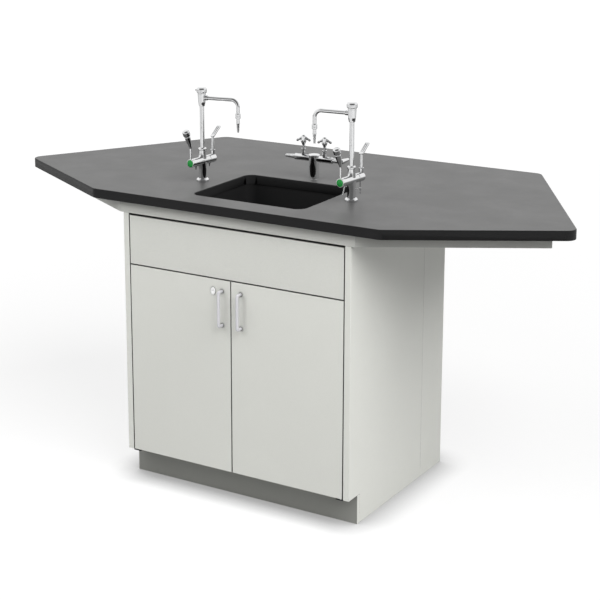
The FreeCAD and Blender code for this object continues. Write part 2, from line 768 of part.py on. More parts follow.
def make_basin():
    """Undermount basin with a rim, rounded corners and a coved floor."""
    body = new_body()
    half = "(sink_length / 2 + sink_reveal)"
    depth = "(sink_width / 2 + sink_reveal)"
    rim_half = f"{half} + sink_wall + sink_rim"
    rim_depth = f"{depth} + sink_wall + sink_rim"
    total = "(sink_depth + sink_wall)"
    wall_half = f"({half} + sink_wall)"
    wall_depth = f"({depth} + sink_wall)"
    shell = rectangle(f"-{wall_half}", f"-{wall_depth}", wall_half, wall_depth)
    pad(body, outline(new_sketch(body, "XY_Plane"), shell), total)
    rim = rectangle(f"-({rim_half})", f"-({rim_depth})", rim_half, rim_depth)
    rim_sketch = outline(new_sketch(body, "XY_Plane", total), rim)
    pad(body, rim_sketch, "sink_rim_height", backwards=True)
    inside = rectangle(f"-{half}", f"-{depth}", half, depth)
    pocket(body, outline(new_sketch(body, "XY_Plane", total), inside), "sink_depth")
    inner = (value(half) + 1, value(depth) + 1)
    fillet(body, "sink_corner + sink_reveal", lambda edge: upright(edge) and within(edge, *inner))
    fillet(body, "sink_cove", at_height(value("sink_wall")))
    outer = (value(f"{half} + sink_wall") + 1, value(f"{depth} + sink_wall") + 1)
    under_rim = value(f"{total} - sink_rim_height") + 1
    fillet(
        body,
        "sink_corner + sink_reveal + sink_wall",
        lambda edge: upright(edge) and within(edge, *outer) and not within(edge, *inner)
        and edge.BoundBox.ZMax < under_rim,
    )
    hole = circle(new_sketch(body, "XY_Plane"), "0", "0", "outlet_barrel_radius + hole_clearance / 2")
    pocket(body, hole)
    node(place(body, y=SINK_MIDDLE, z=SINK_UNDER), "sink_basin")


def within(edge, x_limit, y_limit):
    """Whether an edge stays inside a rectangle about the middle."""
    reach = edge.BoundBox
    return max(abs(reach.XMin), abs(reach.XMax)) < x_limit and max(abs(reach.YMin), abs(reach.YMax)) < y_limit


def make_sink_supports():
    """Two angle bars across the cabinet that carry the basin."""
    bars = []
    left = f"-{INSIDE_HALF}"
    inside = f"2 * {INSIDE_HALF}"
    for sign in (-1, 1):
        y = f"{SINK_MIDDLE} + {sign} * (sink_width / 2 - support_inset)"
        flat = box((left, f"{y} - support_bar / 2", f"{SINK_UNDER} - support_wall"),
                   (inside, "support_bar", "support_wall"))
        upright_y = f"{y} - support_bar / 2"
        web = box((left, upright_y, f"{SINK_UNDER} - support_bar"), (inside, "support_wall", "support_bar"))
        bars.append(fuse(flat, web))
    node(group(*bars), "sink_supports")


def make_drain():
    """Outlet with a strainer in the basin's floor, and the tailpiece below it."""
    flange_z = "outlet_length"
    bore = "(tailpiece_radius + running_gap)"
    body = turned([
        (bore, "0"),
        ("outlet_barrel_radius", "0"),
        ("outlet_barrel_radius", flange_z),
        ("outlet_flange_radius", flange_z),
        ("outlet_flange_radius - 2", f"{flange_z} + outlet_flange_height"),
        ("0", f"{flange_z} + outlet_flange_height - 1"),
        ("0", f"{flange_z} - strainer_thickness"),
        (bore, f"{flange_z} - strainer_thickness"),
    ])
    holes = new_sketch(body, "XY_Plane", flange_z)
    circle(holes, "0", "0", "strainer_hole_radius")
    for number in range(int(SIZES["strainer_holes"])):
        turn = f"(360 * {number} / strainer_holes)"
        x = f"strainer_ring_radius * cos({turn})"
        y = f"strainer_ring_radius * sin({turn})"
        circle(holes, x, y, "strainer_hole_radius")
    pocket(body, holes)
    place(body, y=SINK_MIDDLE, z=f"{SINK_FLOOR} - outlet_length")
    node(body, "sink_outlet")
    inner = "tailpiece_radius - tailpiece_wall"
    pipe = turned(rectangle(inner, "0", "tailpiece_radius", "tailpiece_length"))
    pipe_top = f"{SINK_FLOOR} - outlet_length + tailpiece_overlap"
    node(place(pipe, y=SINK_MIDDLE, z=f"{pipe_top} - tailpiece_length"), "sink_tailpiece")


def lock_nut(flats, bore, x, y, top, turn="0"):
    """Hexagonal nut below a surface."""
    hole = rod(bore, "3 * nut_height", ("0", "0", "-nut_height"))
    return place(cut(prism(flats, "nut_height"), hole), x, y, f"{top} - nut_height", turn=turn)


def make_lock_nuts():
    """One nut on each fixture's shank and one on the sink outlet."""
    nuts = [lock_nut("nut_flats", "shank_radius", x, FAUCET_Y, UNDER_TOP, "faucet_turn")
            for x in (f"-{FAUCET_X}", FAUCET_X)]
    nuts.append(lock_nut("nut_flats", "shank_radius", "turret_side", TURRET_Y, UNDER_TOP))
    nuts.append(lock_nut("outlet_nut_flats", "outlet_barrel_radius", "0", SINK_MIDDLE, SINK_UNDER))
    node(group(*nuts), "lock_nuts")


# ---------------------------------------------------------------- faucets


def oval_flare(low, low_size, high, high_size):
    """Loft between two ovals, each given as half-length along Y and half-width along X."""
    rings = []
    for level, (along, across) in ((low, low_size), (high, high_size)):
        ring = doc.addObject("Part::Ellipse", "Ring")
        bind(ring, MajorRadius=along, MinorRadius=across)
        ring.Placement = Placement(Vector(), Rotation(Vector(0, 0, 1), RIGHT_ANGLE))
        rings.append(place(ring, z=level))
    loft = doc.addObject("Part::Loft", "Flare")
    loft.Sections = rings
    loft.Solid = True
    return loft


def along_y(radius, start, length, height, low_radius=None):
    """A rod, or a cone, along +Y at a height."""
    foot = ("0", start, height)
    if low_radius is None:
        return rod(radius, length, foot, (1, 0, 0), -RIGHT_ANGLE)
    return cone(low_radius, radius, length, foot, (1, 0, 0), -RIGHT_ANGLE)


def turned_on_top(thing, place_x):
    """Stand a faucet's part on the worktop, turned with its cross body."""
    return place(thing, place_x, FAUCET_Y, "worktop_height", turn="faucet_turn")


def hanging_screws():
    """Two pointed stop screws under the cross body."""
    foot_z = "cross_height - cross_radius - stop_screw_drop + 2"
    return [cone("stop_screw_radius * 0.5", "stop_screw_radius", "stop_screw_drop",
                 ("0", f"{sign} * stop_screw_offset", foot_z)) for sign in (-1, 1)]


def hanging_drips():
    """A stem with a pointed drip under the rear end, and a slanted drain rod under the front."""
    underside = "(cross_height - cross_radius)"
    stem_foot = f"{underside} - drip_stem_drop"
    stem = rod("drip_stem_radius", "drip_stem_drop + 3", ("0", "drip_stem_offset", stem_foot))
    drip = turned([
        ("0", f"{stem_foot} - drip_cone_length"),
        ("drip_cone_radius * 0.3", f"{stem_foot} - drip_cone_length"),
        ("drip_cone_radius", f"{stem_foot} - 2"),
        ("drip_cone_radius", stem_foot),
        ("drip_stem_radius", f"{stem_foot} + 2"),
        ("0", f"{stem_foot} + 2"),
    ])
    place(drip, y="drip_stem_offset")
    slanted = rod("drip_stem_radius", "drain_rod_length", ("0", "-stop_screw_offset", f"{underside} + 3"),
                  (1, 0, 0), f"{2 * RIGHT_ANGLE} - drain_rod_tilt")
    return [stem, drip, slanted]


def make_faucet_body(side, place_x):
    """Column, flared cross body, riser boss with its swivel nut, and the threaded shank."""
    level = "cross_height"
    shank_length = "(shank_drop + worktop_thickness)"
    shank = rod("shank_radius", shank_length, ("0", "0", f"-{shank_length}"))
    column = rod("column_radius", "flare_low + 1")
    main = along_y("cross_radius", "-cross_front", "cross_front + cross_rear - cross_cap", level)
    cap = along_y("cross_radius * 0.72", "cross_rear - cross_cap", "cross_cap", level, "cross_radius")
    spigot = along_y("spigot_radius", "-(cross_front + spigot_length)", "spigot_length + 1", level)
    foot = "(column_radius + flare_step)"
    neck = "(boss_radius + flare_step)"
    under = oval_flare("flare_low", (foot, foot), level, ("flare_half_length", foot))
    over = oval_flare(level, ("flare_half_length - 2", neck), "flare_high", (neck, neck))
    boss = rod("boss_radius", "boss_top - flare_high + 1", ("0", "0", "flare_high - 1"))
    nut = turned([
        ("0", "boss_top"),
        ("swivel_nut_radius - 1", "boss_top"),
        ("swivel_nut_radius", "boss_top + 1.5"),
        ("swivel_nut_radius", "boss_top + swivel_nut_height - 1.5"),
        ("swivel_nut_radius - 1.5", "boss_top + swivel_nut_height"),
        ("0", "boss_top + swivel_nut_height"),
    ])
    screws = hanging_screws() if side == "left" else hanging_drips()
    solid = fuse(shank, column, main, cap, spigot, under, over, boss, nut, *screws)
    socket = rod("riser_radius + running_gap", "60", ("0", "0", "boss_top - riser_socket"))
    node(turned_on_top(cut(solid, socket), place_x), f"{side}_faucet_body")


def make_spout(side, place_x, turn):
    """Everything that swivels with the riser: pipe, vacuum breaker, cap, spout and nozzle."""

    def finish(thing, name):
        place(thing, place_x, FAUCET_Y, "worktop_height", turn=turn)
        node(thing, f"{side}_{name}")

    foot = "(boss_top - riser_socket + face_gap)"
    finish(turned(rectangle("riser_bore", foot, "riser_radius", "breaker_bottom + 6")), "riser")

    shell = turned([
        ("riser_radius", "breaker_bottom"),
        ("breaker_foot_radius", "breaker_bottom"),
        ("breaker_radius - 1", "breaker_bottom + 12"),
        ("breaker_radius", "breaker_top - 6"),
        ("breaker_radius", "breaker_top"),
        ("0", "breaker_top"),
        ("0", "breaker_bottom + 6"),
        ("riser_radius", "breaker_bottom + 6"),
    ])
    union = rod("spout_union_radius", "breaker_radius + spout_union_length", ("0", "0", "spout_height"),
                (0, 1, 0), RIGHT_ANGLE)
    seat_foot = ("breaker_radius - 3", "0", "spout_height")
    seat = rod("spout_radius", "breaker_radius + spout_union_length + 2", seat_foot,
               (0, 1, 0), RIGHT_ANGLE)
    vent = rod("vent_radius", "vent_depth * 3", ("breaker_radius - vent_depth", "0", "breaker_bottom + 8"),
               (0, 1, 0), RIGHT_ANGLE)
    vent_turned = group(vent)
    vent_angle = f"vent_turn - ({turn})"
    place(vent_turned, turn=vent_angle)
    finish(cut(fuse(shell, union), seat, vent_turned), "breaker_body")

    cap = turned([
        ("0", "breaker_top"),
        ("cap_radius - 1.2", "breaker_top"),
        ("cap_radius", "breaker_top + 2"),
        ("cap_radius", "breaker_top + cap_height - 5"),
        ("cap_radius - 1.8", "breaker_top + cap_height - 1.6"),
        ("cap_radius - 5", "breaker_top + cap_height"),
        ("0", "breaker_top + cap_height"),
    ])
    slots = []
    for number in range(int(SIZES["cap_slots"])):
        slot = box(("cap_radius - 2", "-1.5", "breaker_top - 1"), ("4", "3", "4.5"))
        slots.append(place(group(slot), turn=f"360 * {number} / cap_slots + 30"))
    notched = cut(cap, *slots)
    if side == "left":
        grub_length = "cap_radius + cap_screw_proud"
        grub = rod("cap_screw_radius", grub_length, ("0", "0", "breaker_top + cap_height / 2"),
                   (0, 1, 0), RIGHT_ANGLE)
        notched = fuse(notched, place(group(grub), turn=f"cap_screw_turn - ({turn})"))
    finish(notched, "breaker_cap")

    start = "(breaker_radius - 3)"
    bend_x = "(spout_reach - spout_bend)"
    drop = "(nozzle_top_drop + 8 - spout_bend)"
    runs = []
    for radius in ("spout_radius", "spout_bore"):
        level = rod(radius, f"{bend_x} - {start}", (start, "0", "spout_height"), (0, 1, 0), RIGHT_ANGLE)
        bend = doc.addObject("Part::Torus", "Bend")
        bend.Angle3 = RIGHT_ANGLE
        bind(bend, Radius1="spout_bend", Radius2=radius)
        bend.Placement = Placement(Vector(), Rotation(Vector(1, 0, 0), RIGHT_ANGLE))
        place(bend, bend_x, "0", "spout_height - spout_bend")
        down = rod(radius, drop, ("spout_reach", "0", f"spout_height - spout_bend - {drop}"))
        runs.append(fuse(level, bend, down))
    finish(cut(*runs), "spout_tube")

    make_nozzle(side, place_x, turn)


def make_nozzle(side, place_x, turn):
    """Outlet collar, neck and ring with a serrated hose end, hanging from the spout's bend."""
    top = "spout_height - nozzle_top_drop"
    under = f"{top} - collar_length"
    ring_top = f"{under} - neck_length"
    ring_foot = f"{ring_top} - neck_ring_height"
    collar = turned([
        ("spout_radius", f"{top} - 8"),
        ("nozzle_bore", f"{top} - 8"),
        ("nozzle_bore", ring_foot),
        ("neck_ring_radius", ring_foot),
        ("neck_ring_radius", ring_top),
        ("neck_radius", ring_top),
        ("neck_radius", under),
        ("collar_radius", f"{under} + 1"),
        ("collar_radius", f"{top} - 1.5"),
        ("collar_radius - 1.5", top),
        ("spout_radius", top),
    ])
    tail = "(nozzle_length - collar_length - neck_length - neck_ring_height)"
    barbs = turned(barbed("nozzle_root_radius", "nozzle_tip_radius", tail, "nozzle_bore"))
    place(barbs, z=ring_foot, axis=(1, 0, 0), turn=2 * RIGHT_ANGLE)
    whole = fuse(collar, barbs)
    outlet = place(group(whole), x="spout_reach")
    swung = group(outlet)
    place(swung, place_x, FAUCET_Y, "worktop_height", turn=turn)
    node(swung, f"{side}_nozzle")


def make_front_lever(side, place_x):
    """Hub on the cross body's front end, thin rod and tapered grip with a round head."""
    back = "-(cross_front + face_gap)"
    hub = along_y("lever_hub_radius", f"{back} - lever_hub_length", "lever_hub_length", "cross_height")
    seat_start = f"{back} - spigot_length"
    seat = along_y("spigot_radius + running_gap", seat_start, "spigot_length + 1", "cross_height")
    recess = along_y("index_radius", f"{back} - lever_hub_length - 1", "2", "cross_height")
    rod_y = f"({back} - lever_hub_length / 2)"
    stem_foot = "cross_height + lever_hub_radius - 2"
    stem = rod("lever_rod_radius", f"lever_rod_top + cross_height - ({stem_foot})", ("0", rod_y, stem_foot))
    grip = turned([
        ("0", "-3"),
        ("lever_rod_radius", "-3"),
        ("grip_foot_radius", "0"),
        ("grip_belly_radius", "grip_length * 0.42"),
        ("grip_head_radius * 0.86", "grip_length - grip_head_radius * 0.5"),
        ("0", "grip_length - grip_head_radius * 0.5"),
    ])
    head = ball("grip_head_radius", ("0", "0", "grip_length"))
    tilted = group(fuse(grip, head))
    place(tilted, "0", rod_y, "cross_height + lever_rod_top", axis=(1, 0, 0), turn="grip_tilt")
    lever = cut(fuse(hub, stem, tilted), seat, recess)
    node(turned_on_top(lever, place_x), f"{side}_front_lever")
    disc = along_y("index_radius", f"{back} - lever_hub_length - 1", "index_thickness", "cross_height",
                   "index_radius * 0.86")
    node(turned_on_top(group(disc), place_x), f"{side}_index_disc")


def make_bonnet(place_x):
    """Fixed bonnet under a blade lever, on the rear of the cross body."""
    body = turned([
        ("0", "cross_height + cross_radius - 3"),
        ("bonnet_radius", "cross_height + cross_radius - 3"),
        ("bonnet_radius", "bonnet_top - 2"),
        ("bonnet_radius + 0.7", "bonnet_top - 1.5"),
        ("bonnet_radius + 0.7", "bonnet_top"),
        ("0", "bonnet_top"),
    ])
    # the foot follows the cross body's round back
    round_back = along_y("cross_radius", "-40", "80", "cross_height")
    return turned_on_top(group(place(cut(body, round_back), y="bonnet_setback")), place_x)


def make_blade_lever(side, place_x):
    """Upright rod that ends in a slotted blade, tilted back."""
    foot = "bonnet_top + face_gap"
    stem_length = f"blade_rod_top - ({foot})"
    stem = cone("blade_rod_radius + 0.6", "blade_rod_radius - 0.8", stem_length, ("0", "0", foot))
    blank_corner = ("-blade_width / 2", "-blade_thickness / 2", "-4")
    blank = box(blank_corner, ("blade_width", "blade_thickness", "blade_length"))
    slots = []
    for sign in (-1, 1):
        x = f"{sign} * blade_width / 5.6 - blade_slot_width / 2"
        slot_size = ("blade_slot_width", "2 * blade_thickness", "blade_length - 13")
        slots.append(box((x, "-blade_thickness", "4"), slot_size))
    blade = group(cut(blank, *slots))
    place(blade, "0", "0", "blade_rod_top", axis=(1, 0, 0), turn="-blade_tilt")
    lever = place(fuse(stem, blade), y="bonnet_setback")
    node(turned_on_top(group(lever), place_x), f"{side}_blade_lever")


def make_faucets():
    """Both faucets with their flanges and bonnets."""
    flanges = []
    bonnets = []
    for side, place_x, turn in (("left", f"-{FAUCET_X}", "left_spout_turn"),
                                ("right", FAUCET_X, "right_spout_turn")):
        make_faucet_body(side, place_x)
        make_spout(side, place_x, turn)
        make_front_lever(side, place_x)
        make_blade_lever(side, place_x)
        bonnets.append(make_bonnet(place_x))
        flange = turned([
            ("column_radius", "0"),
            ("flange_radius", "0"),
            ("flange_radius", "flange_height - 3"),
            ("flange_radius - 2", "flange_height"),
            ("column_radius", "flange_height"),
        ])
        flanges.append(turned_on_top(flange, place_x))
    node(group(*flanges), "faucet_flanges")
    node(group(*bonnets), "blade_bonnets")


# ---------------------------------------------------------------- gas turret


def make_turret_body():
    """Post with a flat top disc, two hexagonal arms and the shank."""
    post = turned([
        ("0", "-(shank_drop + worktop_thickness)"),
        ("shank_radius", "-(shank_drop + worktop_thickness)"),
        ("shank_radius", "0"),
        ("post_radius + 1", "0"),
        ("post_radius + 1", "2"),
        ("post_radius", "3"),
        ("post_radius", "post_top"),
        ("post_disc_radius", "post_top + 2"),
        ("post_disc_radius", "post_top + post_disc_height - 1.5"),
        ("post_disc_radius - 1.5", "post_top + post_disc_height"),
        ("0", "post_top + post_disc_height"),
    ])
    arms = [prism("arm_flats", "arm_reach", ("0", "0", "arm_height"), (0, 1, 0), turn)
            for turn in (RIGHT_ANGLE, -RIGHT_ANGLE)]
    node(place(fuse(post, *arms), "turret_side", TURRET_Y, "worktop_height"), "gas_turret_body")


def gas_bonnet(sign):
    """Valve bonnet standing on an arm's upper corner, with two rings."""
    seat = "arm_height + arm_flats / 2 - 3"
    body = turned([
        ("0", seat),
        ("gas_bonnet_radius", seat),
        ("gas_bonnet_radius", "gas_bonnet_top - 14"),
        ("gas_bonnet_radius + 0.9", "gas_bonnet_top - 13"),
        ("gas_bonnet_radius + 0.9", "gas_bonnet_top - 9"),
        ("gas_bonnet_radius - 1.2", "gas_bonnet_top - 8"),
        ("gas_bonnet_radius - 1.2", "gas_bonnet_top - 2"),
        ("gas_bonnet_radius", "gas_bonnet_top - 1"),
        ("gas_bonnet_radius", "gas_bonnet_top"),
        ("0", "gas_bonnet_top"),
    ])
    arm = prism("arm_flats", "40", ("-20", "0", "arm_height"), (0, 1, 0), RIGHT_ANGLE)
    seated = place(cut(body, arm), f"turret_side + {sign} * gas_bonnet_offset", TURRET_Y, "worktop_height")
    return seated


def make_gas_handle(side, sign):
    """Bell-shaped hub with four drooping arms that end in balls."""
    foot = "(gas_bonnet_top + face_gap)"
    hub = turned([
        ("0", foot),
        ("4", foot),
        ("4.6", f"{foot} + 3"),
        ("gas_hub_radius", f"{foot} + gas_hub_height * 0.36"),
        ("gas_hub_radius", f"{foot} + gas_hub_height * 0.5"),
        ("gas_hub_radius * 0.82", f"{foot} + gas_hub_height * 0.86"),
        ("gas_hub_radius * 0.45", f"{foot} + gas_hub_height"),
        ("0", f"{foot} + gas_hub_height"),
    ])
    parts = [hub]
    root = f"{foot} + gas_hub_height * 0.84"
    for number in range(GAS_ARMS):
        arm = cone("gas_arm_radius + 1", "gas_arm_radius", "gas_handle_radius / cos(gas_arm_droop)",
                   ("0", "0", root), (0, 1, 0), f"{RIGHT_ANGLE} + gas_arm_droop")
        end_z = f"{root} - gas_handle_radius * tan(gas_arm_droop)"
        end = ball("gas_ball_radius", ("gas_handle_radius", "0", end_z))
        parts.append(place(group(fuse(arm, end)), turn=f"{number} * 360 / {GAS_ARMS} + 20"))
    handle = fuse(*parts)
    place(handle, f"turret_side + {sign} * gas_bonnet_offset", TURRET_Y, "worktop_height")
    node(handle, f"{side}_gas_handle")


def make_hose_ends():
    """Serrated hose ends: straight on the left arm, angled to the back on the right."""
    shape = ("hose_root_radius", "hose_tip_radius", "hose_length", "hose_bore")
    straight = turned(barbed(*shape))
    place(straight, "-arm_reach", "0", "arm_height", axis=(0, 1, 0), turn=-RIGHT_ANGLE)
    corner = ("arm_reach + elbow_reach", "0", "arm_height")
    inlet = rod("hose_root_radius", "elbow_reach", ("arm_reach", "0", "arm_height"), (0, 1, 0), RIGHT_ANGLE)
    spout = turned(barbed(*shape))
    place(spout, corner[0], "elbow_radius - 1", "arm_height", axis=(1, 0, 0), turn=-RIGHT_ANGLE)
    neck = rod("hose_root_radius", "elbow_radius - 1", corner, (1, 0, 0), -RIGHT_ANGLE)
    way = rod("hose_bore", "elbow_radius + 4", corner, (1, 0, 0), -RIGHT_ANGLE)
    angled = fuse(cut(fuse(inlet, ball("elbow_radius", corner), neck), way), spout)
    ends = group(straight, angled)
    node(place(ends, "turret_side", TURRET_Y, "worktop_height"), "hose_ends")


def make_turret():
    """Gas turret with its bonnets, handles and hose ends."""
    make_turret_body()
    node(group(gas_bonnet(-1), gas_bonnet(1)), "gas_bonnets")
    make_gas_handle("left", -1)
    make_gas_handle("right", 1)
    make_hose_ends()


# ---------------------------------------------------------------- build and export


def check_model():
    """Stop before anything is written if an object failed or a sub-part isn't sound."""
    doc.recompute()
    failed = [item.Label for item in doc.Objects if {"Invalid", "Error"} & set(item.State)]
    unsound = [item.Label for item in nodes if item.Shape.isNull() or not item.Shape.isValid()]
    if failed or unsound:
        raise SystemExit(f"failed: {failed}; unsound: {unsound}")


make_worktop()
make_apron()
make_cabinet()
make_front_rails()
make_false_front()
for door_side, door_sign in (("left", 1), ("right", -1)):
    make_door(door_side, door_sign)
    make_pull(door_side, door_sign)
    make_pivots(door_side, door_sign)
make_door_fittings()
make_lock()
make_basin()
make_sink_supports()
make_drain()
make_lock_nuts()
make_faucets()
make_turret()
check_model()

os.makedirs("parts", exist_ok=True)
for part in nodes:
    part.Shape.exportStep(os.path.join("parts", f"{part.Label}.step"))
    print(part.Label, len(part.Shape.Solids), round(part.Shape.Volume))
print(len(nodes), "sub-parts")
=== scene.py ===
"""Looks of the island laboratory sink unit: finishes, finely made fittings, studio and camera.

Everything is in metres; the fittings are drawn in millimetres and scaled by their place.
"""

import json
import math

import bmesh
import bpy
from mathutils import Matrix, Vector

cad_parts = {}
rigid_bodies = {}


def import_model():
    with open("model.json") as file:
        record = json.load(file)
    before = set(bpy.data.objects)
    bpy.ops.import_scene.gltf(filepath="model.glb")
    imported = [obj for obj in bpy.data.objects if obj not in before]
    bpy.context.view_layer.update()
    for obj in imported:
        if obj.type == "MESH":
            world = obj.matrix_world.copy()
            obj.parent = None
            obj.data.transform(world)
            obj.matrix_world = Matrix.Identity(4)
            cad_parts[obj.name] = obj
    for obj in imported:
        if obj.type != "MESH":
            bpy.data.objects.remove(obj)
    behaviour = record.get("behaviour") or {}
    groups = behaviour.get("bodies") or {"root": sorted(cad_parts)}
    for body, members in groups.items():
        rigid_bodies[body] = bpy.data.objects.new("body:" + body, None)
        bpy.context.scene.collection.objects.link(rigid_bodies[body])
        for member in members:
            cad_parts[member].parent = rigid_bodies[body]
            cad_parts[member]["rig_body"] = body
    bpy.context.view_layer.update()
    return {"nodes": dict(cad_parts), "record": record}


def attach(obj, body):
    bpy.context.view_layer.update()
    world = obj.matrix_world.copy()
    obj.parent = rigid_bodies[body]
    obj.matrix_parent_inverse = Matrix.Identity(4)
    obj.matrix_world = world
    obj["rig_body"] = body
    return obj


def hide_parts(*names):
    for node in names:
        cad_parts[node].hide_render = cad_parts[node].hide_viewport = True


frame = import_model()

MM = 0.001
nodes = frame["nodes"]
body_of_node = {name: item["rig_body"] for name, item in nodes.items()}
slot_of_node = {row["node"]: row["material_slot"] for row in frame["record"]["subparts"]}

# ------------------------------ node tree helpers


def put(tree, kind, inputs=None, **settings):
    """A node of a kind, with its settings and its unlinked or linked inputs."""
    item = tree.nodes.new(kind)
    for name, setting in settings.items():
        setattr(item, name, setting)
    for name, source in (inputs or {}).items():
        socket = item.inputs[name]
        if isinstance(source, bpy.types.NodeSocket):
            tree.links.new(source, socket)
        else:
            socket.default_value = source
    return item


def new_group(name, kind, takes, gives):
    """A node group with named, typed inputs and outputs."""
    tree = bpy.data.node_groups.new(name, kind)
    for socket, (sort, start) in takes.items():
        entry = tree.interface.new_socket(socket, in_out="INPUT", socket_type=sort)
        if start is not None:
            entry.default_value = start
    for socket, sort in gives.items():
        tree.interface.new_socket(socket, in_out="OUTPUT", socket_type=sort)
    return tree, put(tree, "NodeGroupInput").outputs, put(tree, "NodeGroupOutput").inputs


NUMBER = "NodeSocketFloat"


def mathed(tree, operation, first, second=0.0):
    """The result of a math node."""
    return put(tree, "ShaderNodeMath", {0: first, 1: second}, operation=operation).outputs[0]


def remapped(tree, source, low, high, new_low=0.0, new_high=1.0):
    """A value stretched from one range to another."""
    inputs = {"Value": source, "From Min": low, "From Max": high, "To Min": new_low, "To Max": new_high}
    return put(tree, "ShaderNodeMapRange", inputs).outputs["Result"]


def own_place(tree):
    """Where the surface is, in the unit's own metres."""
    return put(tree, "ShaderNodeTexCoord").outputs["Object"]


def parts_of(tree, vector):
    """The X, Y and Z of a vector."""
    return put(tree, "ShaderNodeSeparateXYZ", {0: vector}).outputs


def facing(tree):
    """The way that the surface looks."""
    return put(tree, "ShaderNodeNewGeometry").outputs["Normal"]


def noise_at(tree, where, scale, detail, **more):
    """Soft noise of a given scale."""
    inputs = {"Vector": where, "Scale": scale, "Detail": detail}
    inputs.update({name.capitalize(): amount for name, amount in more.items()})
    return put(tree, "ShaderNodeTexNoise", inputs).outputs["Fac"]


# ------------------------------ shared surface effects

GRAIN_BAND = (0.4, 0.62)
MARKS_FINER = 7.0
MARKS_START = 0.62
MARKS_SPREAD = 0.3
MARKS_FULL = 0.75
MARKS_MOTTLE = (0.3, 0.6, 0.5, 1.0)
EDGE_TURN = (0.995, 0.85)
WEAR_SCALE = 60.0
WEAR_START = 0.6
WEAR_FULL = 0.75
# Where the thin dust and painted sheen lie: how far a face looks up, and the cloudiness.
DUST_SHEEN_LEVEL = (0.7, 1.0)
DUST_SHEEN_SCALE = 9.0
DUST_SHEEN_CLOUDS = (0.3, 0.7, 0.8, 1.0)
UNSHADED_FOOT = (0.024, 0.032)
UPRIGHT = (0.6, 0.2)


def make_fine_grain():
    """Even fine texture, as height and as a mask."""
    takes = {"Size": (NUMBER, 0.002), "Rough": (NUMBER, 0.5)}
    tree, given, out = new_group("fine grain", "ShaderNodeTree", takes, {"Height": NUMBER, "Mask": NUMBER})
    scale = mathed(tree, "DIVIDE", 1.0, given["Size"])
    noise = noise_at(tree, own_place(tree), scale, 3.0, roughness=given["Rough"])
    tree.links.new(noise, out["Height"])
    tree.links.new(remapped(tree, noise, *GRAIN_BAND), out["Mask"])
    return tree


def make_hand_marks():
    """Broad soft patches where hands and cloths have passed."""
    takes = {"Size": (NUMBER, 0.08), "Spread": (NUMBER, 0.5)}
    tree, given, out = new_group("hand marks", "ShaderNodeTree", takes, {"Mask": NUMBER})
    where = own_place(tree)
    scale = mathed(tree, "DIVIDE", 1.0, given["Size"])
    broad = noise_at(tree, where, scale, 4.0, distortion=0.6)
    fine = noise_at(tree, where, mathed(tree, "MULTIPLY", scale, MARKS_FINER), 2.0)
    low = mathed(tree, "SUBTRACT", MARKS_START, mathed(tree, "MULTIPLY", given["Spread"], MARKS_SPREAD))
    patch = remapped(tree, broad, low, MARKS_FULL)
    mottled = mathed(tree, "MULTIPLY", patch, remapped(tree, fine, *MARKS_MOTTLE))
    tree.links.new(mottled, out["Mask"])
    return tree


def make_edge_wear_and_highlight():
    """Mask along the edges of a piece, broken up as wear is; it carries wear on the resin and a painted
    highlight on the laminate.
    """
    takes = {"Width": (NUMBER, 0.0012), "Breakup": (NUMBER, 0.5)}
    tree, given, out = new_group("edge wear and painted highlight", "ShaderNodeTree", takes, {"Mask": NUMBER})
    rounded = put(tree, "ShaderNodeBevel", {"Radius": given["Width"]}, samples=4).outputs["Normal"]
    dot = put(tree, "ShaderNodeVectorMath", {0: rounded, 1: facing(tree)}, operation="DOT_PRODUCT")
    edge = remapped(tree, dot.outputs["Value"], *EDGE_TURN)
    noise = noise_at(tree, own_place(tree), WEAR_SCALE, 3.0)
    low = mathed(tree, "MULTIPLY", given["Breakup"], WEAR_START)
    broken = remapped(tree, noise, low, WEAR_FULL)
    tree.links.new(mathed(tree, "MULTIPLY", edge, broken), out["Mask"])
    return tree


def make_dust_and_sheen():
    """Mask of thin dust and painted sheen on surfaces that face up."""
    takes = {"Amount": (NUMBER, 0.3)}
    tree, given, out = new_group("dust and painted sheen", "ShaderNodeTree", takes, {"Mask": NUMBER})
    level = remapped(tree, parts_of(tree, facing(tree))["Z"], *DUST_SHEEN_LEVEL)
    noise = noise_at(tree, own_place(tree), DUST_SHEEN_SCALE, 6.0, roughness=0.65)
    cloudy = remapped(tree, noise, *DUST_SHEEN_CLOUDS)
    mask = mathed(tree, "MULTIPLY", mathed(tree, "MULTIPLY", level, cloudy), given["Amount"])
    tree.links.new(mask, out["Mask"])
    return tree


def make_painted_joint_shade():
    """Mask of painted shade in gaps between boards and in corners under edges, from nearby occlusion, left
    off near the floor.
    """
    takes = {"Reach": (NUMBER, 0.02), "Open": (NUMBER, 0.95), "Shut": (NUMBER, 0.3)}
    tree, given, out = new_group("painted shade in joints", "ShaderNodeTree", takes, {"Mask": NUMBER})
    nearby = put(tree, "ShaderNodeAmbientOcclusion", {"Distance": given["Reach"]}, samples=8)
    closed = remapped(tree, nearby.outputs["AO"], given["Open"], given["Shut"])
    off_floor = remapped(tree, parts_of(tree, own_place(tree))["Z"], *UNSHADED_FOOT)
    tree.links.new(mathed(tree, "MULTIPLY", closed, off_floor), out["Mask"])
    return tree


